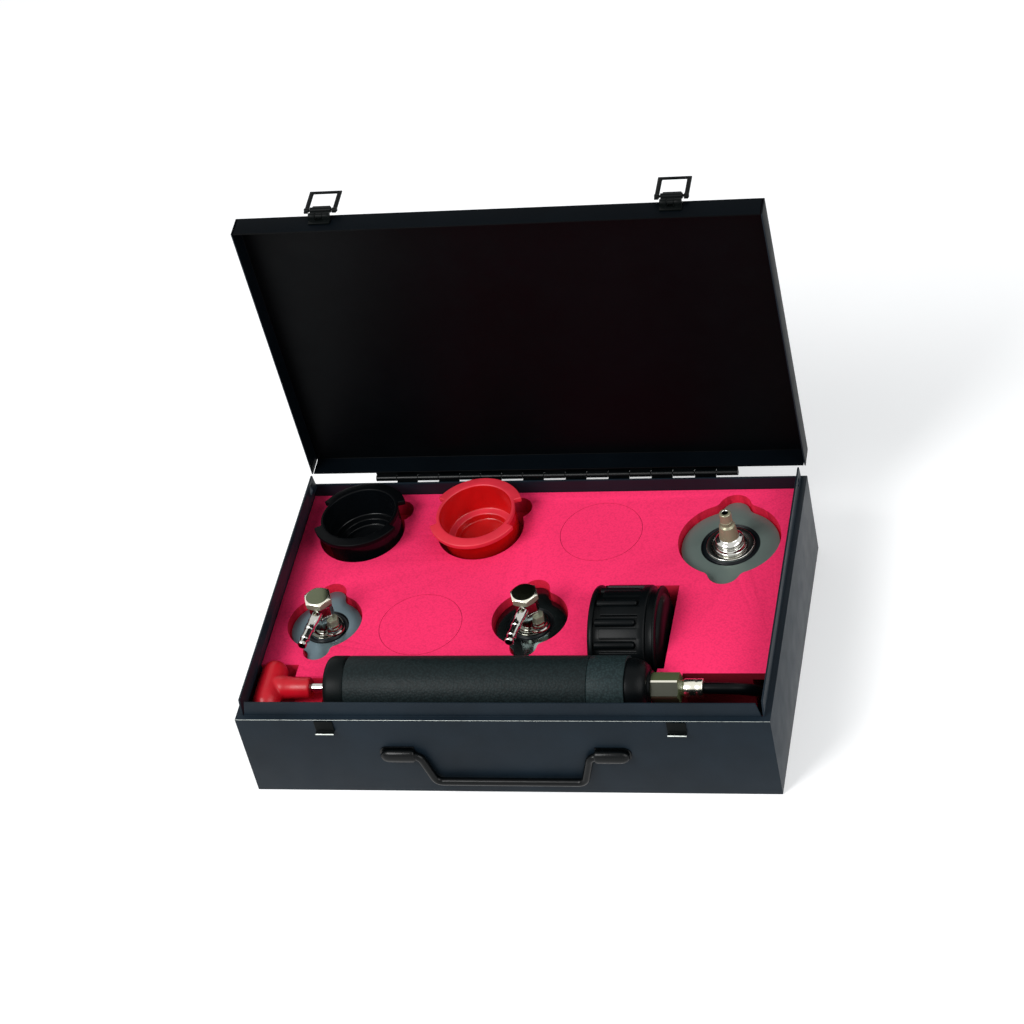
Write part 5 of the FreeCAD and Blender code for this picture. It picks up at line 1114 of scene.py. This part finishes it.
# ---- cap adapters --------------------------------------------------------------------------------
def make_plate(name, rings, sizes, inner, finish):
    """Pressed cap plate: rings of (radius, drop) pairs, the last drawn out to the ears."""
    plate = drawn_rings(name + "_cam", [(-drop, radius) for radius, drop in rings], 180, "NOTHING")
    stretch_to_ears(plate, inner, sizes)
    edit(plate)
    bpy.ops.mesh.select_all(action="SELECT")
    bpy.ops.mesh.normals_make_consistent(inside=False)
    leave()
    if plate.data.polygons[0].normal.z < 0:
        edit(plate)
        bpy.ops.mesh.select_all(action="SELECT")
        bpy.ops.mesh.flip_normals()
        leave()
    modify(plate, "SOLIDIFY", thickness=PLATE_THICKNESS * MM, offset=-1.0, use_even_offset=True)
    round_edges(plate, 0.4, 3, 45.0)
    finish_piece(plate, name + "_cap", finish, [name + "_plate"])
    # Painted shade: the floors of the pressed groove are near-black.
    first, last = rings[1][0] - 0.6, rings[4][0] + 0.4
    paint_faces(plate, "groove_steel",
                lambda centre, normal: normal.z > 0.2 and first < reach_of(centre) < last)
    put(plate, upright(*PLATE_PLACES[name], PLATE_TOP))


STRAIGHT_STEM = [(37.7, 2.2), (37.7, 17.5), (49.7, 17.5), (49.7, 20.0), (52.2, 20.0),
                 (52.2, 15.95), (54.3, 15.95), (54.3, 17.1), (55.0, 17.1), (55.3, 16.6),
                 (55.3, 13.2), (54.6, 12.6), (54.6, 11.4), (55.6, 10.8), (56.8, 10.4),
                 (57.0, 9.2), (57.8, 9.2), (58.0, 10.2), (60.4, 10.2), (61.2, 9.6), (62.2, 7.8),
                 (62.8, 6.8), (73.2, 5.7), (74.0, 4.9), (74.4, 4.1), (76.2, 4.1), (76.6, 4.5),
                 (77.4, 4.5), (77.8, 4.1), (84.4, 4.3), (85.2, 3.8), (85.2, 2.2)]
BOSS_PROFILE = [(37.7, 2.2), (37.7, 12.5), (49.7, 12.5), (49.7, 15.0), (52.2, 15.0),
                (52.2, 10.95), (54.3, 10.95), (54.3, 12.1), (55.2, 12.1), (55.2, 9.6),
                (56.4, 9.2), (57.0, 8.2), (57.2, 7.0), (64.8, 6.8), (64.8, 3.9), (58.0, 3.9),
                (55.2, 3.9), (55.2, 2.2)]
NIPPLE_PROFILE = [(0.0, 0), (0.0, 3.8), (15.0, 3.8), (15.8, 3.4), (20.4, 3.3), (21.0, 3.7),
                  (22.8, 3.7), (23.4, 3.2), (29.6, 3.1), (30.2, 3.5), (32.0, 3.5), (32.6, 3.0),
                  (35.6, 3.0), (36.2, 3.3), (37.6, 3.2), (38.0, 2.8), (38.0, 0)]
NIPPLE_HEIGHT = 73.8
SHANK_PROFILE = [(55.5, 0), (55.5, 3.4), (56.2, 3.9), (77.8, 3.9), (77.8, 7.4), (78.2, 7.8),
                 (79.2, 7.8), (79.2, 0)]
BLEED_SEAT = [(54.6, 0), (54.6, 7.4), (55.4, 7.8), (56.2, 7.4), (56.6, 6.2), (57.8, 6.0),
              (58.2, 6.3), (59.0, 6.0), (59.2, 4.9), (60.4, 4.6), (60.4, 0)]


def make_straight_stem():
    """Stepped, polished stem: dark dish, wide collar, conical barrel and beaded nipple."""
    x, y = PLATE_PLACES["straight"]
    stem = round_edges(turned("straight_spigot", STRAIGHT_STEM, upright(x, y)), 0.18, 1, 30.0)
    finish_piece(stem, "straight_outlet", "chrome_steel", ["straight_stem"])
    paint_faces(stem, "stem_steel",
                lambda centre, normal: centre.z > 62.6 and reach_of(centre, x, y) > 2.6)


RINGS = {"straight": [(16.0, 0.0), (17.6, 0.0), (18.3, 1.3), (20.1, 1.3), (20.8, 0.0),
                      (28.0, 0.0), (35.0, 0.0)],           # radius and drop
         "elbow": [(11.0, 0.0), (12.6, 0.0), (13.3, 1.2), (15.1, 1.2), (15.8, 0.0),
                   (20.0, 0.0), (25.5, 0.0)]}
PLATE_TOP, PLATE_THICKNESS = 54.0, 1.5
BLEED_PLACE = (6.4, -2.6)     # small bleed screw, from the middle of its plate


def make_elbow(name, angle):
    """Stepped boss, banjo with its beaded side nipple, hexagon bolt and a small bleed screw."""
    x, y = PLATE_PLACES[name]
    place = upright(x, y)
    body = name + "_outlet"
    boss = turned(name + "_boss", BOSS_PROFILE, place, 64)
    finish_piece(round_edges(boss, 0.2, 1, 30.0), body, "dark_chrome")
    collar = hexagon(name + "_hex", 15.0, 64.8, 69.8, place, 8.0)
    drill(collar, 3.9, (x, y), 60.0, 72.0)
    finish_piece(round_edges(collar, 0.2, 1, 20.0), body, "chrome_steel", [name + "_stem"], 25.0)
    ring = hexagon(name + "_ring", 14.6, 69.9, 77.8, place, 8.0, 0.3)
    drill(ring, 3.95, (x, y), 60.0, 80.0)
    side = upright(x, y, NIPPLE_HEIGHT) @ turn_about("Z", angle) @ turn_about("Y", 90)
    nipple = turned("nipple", NIPPLE_PROFILE, side, 48)
    drill(nipple, 5.5, (x, y), 69.0, 79.0)
    carve(ring, nipple, "UNION")
    heading = (math.cos(math.radians(angle)), math.sin(math.radians(angle)))
    duct = [(x + away * heading[0], y + away * heading[1], NIPPLE_HEIGHT) for away in (5.0, 40.0)]
    carve(ring, post("duct", 2.0, *duct, 32))
    finish_piece(ring, body, "chrome_steel", [name + "_banjo"], 30.0)
    head = hexagon(name + "_bolt_head", 18.0, 79.2, 85.2, place, 20.0, 1.0)
    finish_piece(round_edges(head, 0.3, 2, 20.0), body, "nickel_brass", [name + "_bolt"], 25.0)
    # The bolt head's chamfers get a painted highlight and its sides painted light.
    paint_faces(head, "bright_nickel", lambda centre, normal: 0.3 < normal.z < 0.95)
    paint_faces(head, "satin_nickel", lambda centre, normal: abs(normal.z) < 0.3)
    finish_piece(turned(name + "_bolt_shank", SHANK_PROFILE, place, 64), body, "dark_chrome")
    seat = upright(x + BLEED_PLACE[0], y + BLEED_PLACE[1])
    finish_piece(turned(name + "_bleed_seat", BLEED_SEAT, seat, 64), body, "chrome_steel")
    bleed = hexagon(name + "_bleed", 8.6, 60.4, 66.0, seat, 8.0)
    finish_piece(round_edges(bleed, 0.2, 2, 20.0), body, "satin_nickel", (), 25.0)


# ---- settings ------------------------------------------------------------------------------------
def tint(label, tone):
    """Colour setting."""
    return bpy.props.FloatVectorProperty(name=label, description="Colour of the " + label.lower(),
                                         default=tone, size=3, min=0.0, max=1.0, subtype="COLOR")


def length(label, description, default):
    """Length setting; the default is in millimetres."""
    return bpy.props.FloatProperty(name=label, description=description, default=default * MM,
                                   min=0.0, precision=4, unit="LENGTH")


def amount(label, description, default, **more):
    """Setting that isn't below zero."""
    return bpy.props.FloatProperty(name=label, description=description, default=default, min=0.0,
                                   **more)


class PT_CaseSettings(bpy.types.PropertyGroup):
    """Steel case."""
    paint: tint("Case paint", linear(17, 27, 35))
    # Painted shade: near-black for the lid's inside panel.
    inside: tint("Lid's inside", linear(2, 3, 4))
    bend: length("Bend", "Radius of the folded edges", 0.6)


class PT_FoamSettings(bpy.types.PropertyGroup):
    """Foam insert."""
    colour: tint("Foam", linear(242, 49, 102))
    # Painted shade for the walls and floors of the foam's cut-outs.
    cut: tint("Cut foam", linear(204, 30, 58))
    softness: length("Softness", "Rounding of the foam's cut edges", 0.7)


class PT_HoseSettings(bpy.types.PropertyGroup):
    """Rubber hose."""
    radius: length("Radius", "Outer radius of the hose", 4.0)


class PT_PumpSettings(bpy.types.PropertyGroup):
    """Hand pump."""
    grip: tint("Grip", linear(17, 26, 27))
    handle: tint("T-handle", linear(176, 14, 30))
    handle_width: length("Handle width", "Length of the T-handle's grip", 45.0)


class PT_GaugeSettings(bpy.types.PropertyGroup):
    """Gauge in its boot."""
    rubber: tint("Boot", linear(4, 6, 7))
    ribs: bpy.props.IntProperty(name="Bars", description="Number of bars round the boot",
                                default=14, min=3)
    rib_depth: length("Bar depth", "Depth of the hollows between the lands", 3.0)


class PT_CupSettings(bpy.types.PropertyGroup):
    """Filler-neck cups."""
    red: tint("Red plastic", linear(184, 14, 16))
    # Lighter red of the red cup's rim and ledge: a painted highlight.
    red_rim: tint("Red rim", linear(206, 44, 60))
    black: tint("Black plastic", linear(5, 7, 9))
    ear_reach: length("Ear reach", "How far the bayonet ears stand out of the wall", 5.6)
    ear_sweep: bpy.props.FloatProperty(name="Ear sweep", description="Angle that each ear covers",
                                       default=math.radians(134.0), subtype="ANGLE")


class PT_AdapterSettings(bpy.types.PropertyGroup):
    """Cap adapters."""
    satin: tint("Satin steel", linear(124, 140, 134))
    chrome: tint("Chrome", linear(200, 200, 194))
    nickel: tint("Nickel over brass", linear(104, 110, 88))


class PT_StageSettings(bpy.types.PropertyGroup):
    """Studio."""
    sky: amount("Sky level", "Level of the even light from all round", 0.42)
    key: amount("Key lamp", "Power of the large lamp at the front left", 60.0, unit="POWER")
    fill: amount("Fill lamp", "Power of the lamp at the right", 20.0, unit="POWER")


# ---- operators -----------------------------------------------------------------------------------
class PT_OT_stage(bpy.types.Operator):
    """Camera, lamps, sky and floor"""
    bl_idname = "tester.stage"
    bl_label = "Stage"

    def execute(self, context):
        settings = context.scene.tester_stage
        make_camera()
        make_world(settings.sky)
        make_floor()
        add_lamp("key", settings.key)
        add_lamp("fill", settings.fill)
        context.scene.view_settings.view_transform = "Standard"
        return {"FINISHED"}


class PT_OT_finishes(bpy.types.Operator):
    """Finishes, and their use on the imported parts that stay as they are"""
    bl_idname = "tester.finishes"
    bl_label = "Finishes"

    def execute(self, context):
        make_materials(context.scene)
        paint_nodes()
        return {"FINISHED"}


class PT_OT_case(bpy.types.Operator):
    """Folded steel pan, lid tray and hinge leaves"""
    bl_idname = "tester.case"
    bl_label = "Case and lid"

    def execute(self, context):
        make_case(context.scene.tester_case)
        return {"FINISHED"}


class PT_OT_latches(bpy.types.Operator):
    """Latches, keepers and the saddles of the drop handle"""
    bl_idname = "tester.latches"
    bl_label = "Latches and saddles"

    def execute(self, context):
        make_latches()
        make_saddles()
        return {"FINISHED"}


class PT_OT_foam(bpy.types.Operator):
    """Foam insert with its cut-outs"""
    bl_idname = "tester.foam"
    bl_label = "Foam"

    def execute(self, context):
        make_foam(context.scene.tester_foam)
        return {"FINISHED"}


class PT_OT_hose(bpy.types.Operator):
    """Rubber hose from the pump to the coupler"""
    bl_idname = "tester.hose"
    bl_label = "Hose"

    def execute(self, context):
        make_hose(context.scene.tester_hose)
        return {"FINISHED"}


class PT_OT_pump(bpy.types.Operator):
    """Pump body, hose fittings and T-handle"""
    bl_idname = "tester.pump"
    bl_label = "Pump"

    def execute(self, context):
        make_pump_body()
        make_hose_fittings()
        make_t_handle(context.scene.tester_pump)
        return {"FINISHED"}


class PT_OT_gauge(bpy.types.Operator):
    """Ribbed boot of the gauge"""
    bl_idname = "tester.gauge"
    bl_label = "Gauge boot"

    def execute(self, context):
        make_boot(context.scene.tester_gauge)
        return {"FINISHED"}


class PT_OT_cups(bpy.types.Operator):
    """Black and red filler-neck cups"""
    bl_idname = "tester.cups"
    bl_label = "Filler-neck cups"

    def execute(self, context):
        for colour in CUP_PLACES:
            make_cup(colour, context.scene.tester_cups)
        return {"FINISHED"}


class PT_OT_adapters(bpy.types.Operator):
    """Straight cap adapter and two with a banjo"""
    bl_idname = "tester.adapters"
    bl_label = "Cap adapters"

    def execute(self, context):
        make_plate("straight", RINGS["straight"], STRAIGHT_PLATE, 22.0, "satin_steel")
        make_straight_stem()
        for name, angle, finish in (("left", -98.0, "blue_steel"), ("middle", -99.0, "dark_plate")):
            make_plate(name, RINGS["elbow"], ELBOW_PLATE, 17.0, finish)
            make_elbow(name, angle)
        return {"FINISHED"}


class PT_PT_panel(bpy.types.Panel):
    """All pieces, each with its settings"""
    bl_label = "Pressure Tester"
    bl_idname = "PT_PT_panel"
    bl_space_type = "VIEW_3D"
    bl_region_type = "UI"
    bl_category = "Pressure Tester"

    def draw(self, context):
        for name in STEPS:
            self.layout.operator("tester." + name)
            group = GROUPS.get("tester_" + name)
            if group:
                for setting in group.__annotations__:
                    self.layout.prop(getattr(context.scene, "tester_" + name), setting)


STEPS = ["stage", "finishes", "hose", "case", "latches", "foam", "pump", "gauge", "cups",
         "adapters"]
GROUPS = {"tester_stage": PT_StageSettings, "tester_case": PT_CaseSettings,
          "tester_foam": PT_FoamSettings, "tester_hose": PT_HoseSettings,
          "tester_pump": PT_PumpSettings, "tester_gauge": PT_GaugeSettings,
          "tester_cups": PT_CupSettings, "tester_adapters": PT_AdapterSettings}
OPERATORS = [PT_OT_stage, PT_OT_finishes, PT_OT_hose, PT_OT_case, PT_OT_latches, PT_OT_foam,
             PT_OT_pump, PT_OT_gauge, PT_OT_cups, PT_OT_adapters]


def register():
    """Register the classes and hang the settings on the scene."""
    for name, group in GROUPS.items():
        bpy.utils.register_class(group)
        setattr(bpy.types.Scene, name, bpy.props.PointerProperty(type=group))
    for operator in OPERATORS:
        bpy.utils.register_class(operator)
    bpy.utils.register_class(PT_PT_panel)


def unregister():
    """Take everything back."""
    bpy.utils.unregister_class(PT_PT_panel)
    for operator in reversed(OPERATORS):
        bpy.utils.unregister_class(operator)
    for name, group in GROUPS.items():
        delattr(bpy.types.Scene, name)
        bpy.utils.unregister_class(group)


def main():
    """Build the scene."""
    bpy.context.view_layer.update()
    register()
    for name in STEPS:
        getattr(bpy.ops.tester, name)()


if __name__ == "__main__":
    main()
